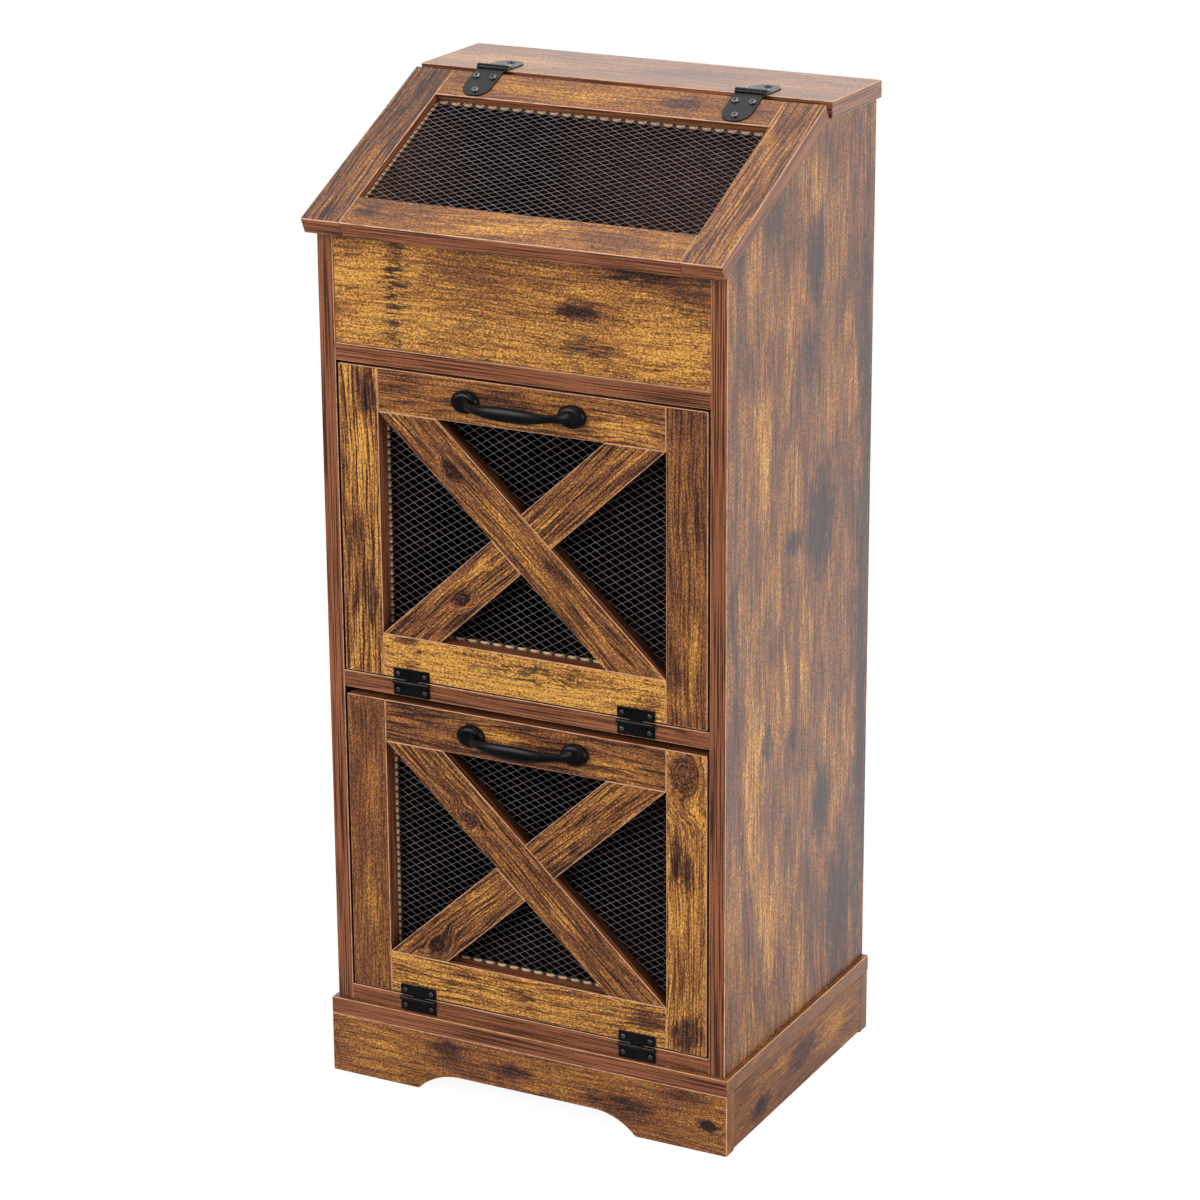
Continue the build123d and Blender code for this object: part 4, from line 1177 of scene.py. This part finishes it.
class BIN_OT_mesh(bpy.types.Operator):
    """Makes the expanded mesh behind each window"""

    bl_idname = "bin.mesh"
    bl_label = "Fit the mesh"

    def execute(self, context):
        settings = context.scene.bin_mesh
        metal = context.scene.bin_metal
        finish = coat_material("black_mesh", metal.mesh, roughness=0.45, scale=1500.0, bump=0.00001)
        group = expanded_mesh_group()
        behind = Matrix.Translation((0, 0, -strand_depth(settings) / 2))
        for prefix in panels:
            panel = panel_frame(prefix)
            (waves, strands), (width, height) = diamonds(prefix, panel, settings)
            mesh = grown_mesh(bpy.data.meshes.new("holder"), group, {
                "Diamond width": width, "Diamond height": height, "Waves": waves,
                "Strands": strands, "Strand width": settings.strand_width,
                "Strand thickness": settings.strand_thickness, "Bond length": settings.bond,
                "Twist": settings.twist, "Finish": finish,
            }, panel["place"] @ behind)
            piece = add_piece(prefix + "_expanded_mesh", mesh, prefix)
            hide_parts(prefix + "_mesh")
        return {"FINISHED"}


class BIN_OT_strips(bpy.types.Operator):
    """Fixes the mesh with thin strips and staples"""

    bl_idname = "bin.strips"
    bl_label = "Staple the strips"

    def execute(self, context):
        settings = context.scene.bin_mesh
        metal = context.scene.bin_metal
        wire = coat_material("staple_wire", metal.zinc, roughness=0.34, scale=1200.0, metallic=1.0)
        group = staple_group()
        front = -strand_depth(settings)
        for prefix in panels:
            panel = panel_frame(prefix)
            diamond = diamonds(prefix, panel, settings)[1]
            mesh = strip_mesh(prefix + "_strips", panel["window"], settings, front)
            mesh.transform(panel["place"])
            mesh.materials.append(
                strip_material(prefix + "_strip_fibre", panel, diamond, settings, metal.black))
            add_piece(prefix + "_strips", mesh, prefix)
            spots = staple_points(panel["window"], settings, front - settings.strip_thickness)
            staples = grown_mesh(spots, group, {
                "Crown": settings.staple_crown, "Leg": settings.staple_leg,
                "Wire": settings.staple_wire, "Looseness": settings.staple_looseness,
                "Seed": settings.staple_seed, "Finish": wire,
            }, panel["place"])
            add_piece(prefix + "_staples", staples, prefix)
        return {"FINISHED"}


class BIN_OT_handles(bpy.types.Operator):
    """Coats the pull handles"""

    bl_idname = "bin.handles"
    bl_label = "Coat the handles"

    def execute(self, context):
        black = context.scene.bin_metal.black
        coat = coat_material("satin_black", black, roughness=0.34, scale=900.0, sheen=0.25)
        dress(coat, *(door + "_handle" for door in doors))
        return {"FINISHED"}


class BIN_OT_hinges(bpy.types.Operator):
    """Coats the hinges, their pins and their screws"""

    bl_idname = "bin.hinges"
    bl_label = "Coat the hinges"

    def execute(self, context):
        metal = context.scene.bin_metal
        leaf = coat_material(
            "black_hinge", metal.black, roughness=0.36, scale=700.0, bump=0.0001, sheen=0.28)
        screw = coat_material("black_screw", metal.screw, roughness=0.24, scale=1400.0, metallic=0.9)
        dress(leaf, "door_hinge_shelf_leaves", "lid_hinge_top_leaves", "hinge_pins",
              *(panel + "_hinge_leaves" for panel in panels))
        dress(screw, "cabinet_screws", *(panel + "_screws" for panel in panels))
        return {"FINISHED"}


class BIN_OT_fittings(bpy.types.Operator):
    """Finishes the hidden fittings: cams, bolts, dowels, catches and plated screws"""

    bl_idname = "bin.fittings"
    bl_label = "Finish the fittings"

    def execute(self, context):
        metal = context.scene.bin_metal
        plated = coat_material("zinc_plate", metal.zinc, roughness=0.30, scale=900.0, metallic=1.0)
        cast = coat_material("cast_cam", metal.cast, roughness=0.42, scale=500.0, metallic=1.0)
        plastic = coat_material("brown_plastic", metal.plastic, roughness=0.46, scale=700.0)
        ferrite = coat_material("ferrite", metal.ferrite, roughness=0.62, scale=600.0)
        dress(plated, "carcass_cam_bolts", "plinth_screws",
              *(door + part for door in doors for part in ("_handle_screws", "_strike_plate")))
        dress(cast, "carcass_cams")
        dress(plastic, "catch_housings")
        dress(ferrite, "catch_magnets")
        dress(beech_material("beech", metal.beech), "dowels", *(panel + "_dowels" for panel in panels))
        return {"FINISHED"}


class BIN_OT_stage(bpy.types.Operator):
    """Sets the floor, the lights and the camera"""

    bl_idname = "bin.stage"
    bl_label = "Set the stage"

    def execute(self, context):
        scene = context.scene
        settings = scene.bin_stage
        scene.view_settings.view_transform = "Standard"
        self.make_floor(scene, settings)
        self.make_world(scene, settings)
        for name, (place, size) in lamps.items():
            self.make_light(scene, name, place, size, getattr(settings, name))
        camera = bpy.data.objects.new("Camera", bpy.data.cameras.new("Camera"))
        camera.data.lens = settings.lens
        camera.data.sensor_width = 36.0
        camera.data.clip_end = 100.0
        turn = Matrix((camera_right, camera_up, camera_right.cross(camera_up))).transposed()
        camera.matrix_world = Matrix.Translation(camera_place) @ turn.to_4x4()
        scene.collection.objects.link(camera)
        scene.camera = camera
        return {"FINISHED"}

    def make_floor(self, scene, settings):
        """A wide floor that glows evenly to the camera and dims in front of the part in a mirror."""
        mesh = bpy.data.meshes.new("floor")
        corners = [
            (x * floor_reach, y * floor_reach, 0) for x, y in ((-1, -1), (1, -1), (1, 1), (-1, 1))
        ]
        mesh.from_pydata(corners, [], [(0, 1, 2, 3)])
        floor = bpy.data.objects.new("floor", mesh)
        scene.collection.objects.link(floor)
        material, tree, shader = new_material("studio_floor")
        feed(tree, shader, {"Base Color": settings.floor, "Roughness": 0.8})
        path = tree.nodes.new("ShaderNodeLightPath")
        mirrored = path.outputs["Is Glossy Ray"]
        behind = ramp(tree, separated(tree, coordinates(tree))[1], -0.5, 0.6, *floor_mirrored)
        light = output_of(tree, "ShaderNodeEmission", {
            "Color": (1, 1, 1, 1), "Strength": between(tree, mirrored, floor_glow, behind)})
        seen = product(tree, path.outputs["Is Camera Ray"], floor_glow_share)
        share = calc(tree, "MAXIMUM", seen, mirrored)
        blend = output_of(tree, "ShaderNodeMixShader", {0: share, 1: shader.outputs[0], 2: light})
        output = next(node for node in tree.nodes if node.type == "OUTPUT_MATERIAL")
        tree.links.new(blend, output.inputs["Surface"])
        mesh.materials.append(material)

    def make_world(self, scene, settings):
        """A white room whose near side is dim in a mirror."""
        world = bpy.data.worlds.new("Room")
        world.use_nodes = True
        tree = world.node_tree
        tree.nodes.clear()
        path = tree.nodes.new("ShaderNodeLightPath")
        toward = separated(tree, coordinates(tree, "Generated"))[1]
        behind = ramp(tree, toward, -0.2, 0.5, *room_mirrored)
        dim = between(tree, path.outputs["Is Glossy Ray"], settings.world, behind)
        strength = calc(tree, "MAXIMUM", path.outputs["Is Camera Ray"], dim)
        glow = output_of(tree, "ShaderNodeBackground", {"Color": (1, 1, 1, 1), "Strength": strength})
        add_node(tree, "ShaderNodeOutputWorld", {"Surface": glow})
        scene.world = world

    def make_light(self, scene, name, place, size, power):
        """A soft lamp that points at the part's middle."""
        data = bpy.data.lights.new(name.title(), "AREA")
        data.shape = "RECTANGLE"
        data.size, data.size_y = size
        data.energy = power
        lamp = bpy.data.objects.new(name.title(), data)
        lamp.location = place
        lamp.rotation_euler = (Vector(place) - lamp_target).to_track_quat("Z", "Y").to_euler()
        scene.collection.objects.link(lamp)


class BIN_PT_sidebar(bpy.types.Panel):
    """Lists the steps and their settings"""

    bl_idname = "BIN_PT_sidebar"
    bl_label = "Potato storage bin"
    bl_space_type = "VIEW_3D"
    bl_region_type = "UI"
    bl_category = "Storage Bin"

    def draw(self, context):
        layout = self.layout
        for step in steps:
            layout.operator(step.bl_idname)
        for name in setting_groups:
            settings = getattr(context.scene, name)
            box = layout.box()
            box.label(text=settings.bl_rna.description)
            for key in settings.bl_rna.properties.keys():
                if key not in ("rna_type", "name"):
                    box.prop(settings, key)


steps = (
    BIN_OT_boards, BIN_OT_mesh, BIN_OT_strips, BIN_OT_handles, BIN_OT_hinges, BIN_OT_fittings,
    BIN_OT_stage,
)
setting_groups = {
    "bin_foil": BIN_PG_foil, "bin_mesh": BIN_PG_mesh, "bin_metal": BIN_PG_metal,
    "bin_stage": BIN_PG_stage,
}
classes = (*setting_groups.values(), *steps, BIN_PT_sidebar)


def register():
    for kind in classes:
        bpy.utils.register_class(kind)
    for name, group in setting_groups.items():
        setattr(bpy.types.Scene, name, PointerProperty(type=group))


def unregister():
    for name in setting_groups:
        delattr(bpy.types.Scene, name)
    for kind in reversed(classes):
        bpy.utils.unregister_class(kind)


def main():
    register()
    bpy.ops.bin.boards()
    bpy.ops.bin.mesh()
    bpy.ops.bin.strips()
    bpy.ops.bin.handles()
    bpy.ops.bin.hinges()
    bpy.ops.bin.fittings()
    bpy.ops.bin.stage()


if __name__ == "__main__":
    main()
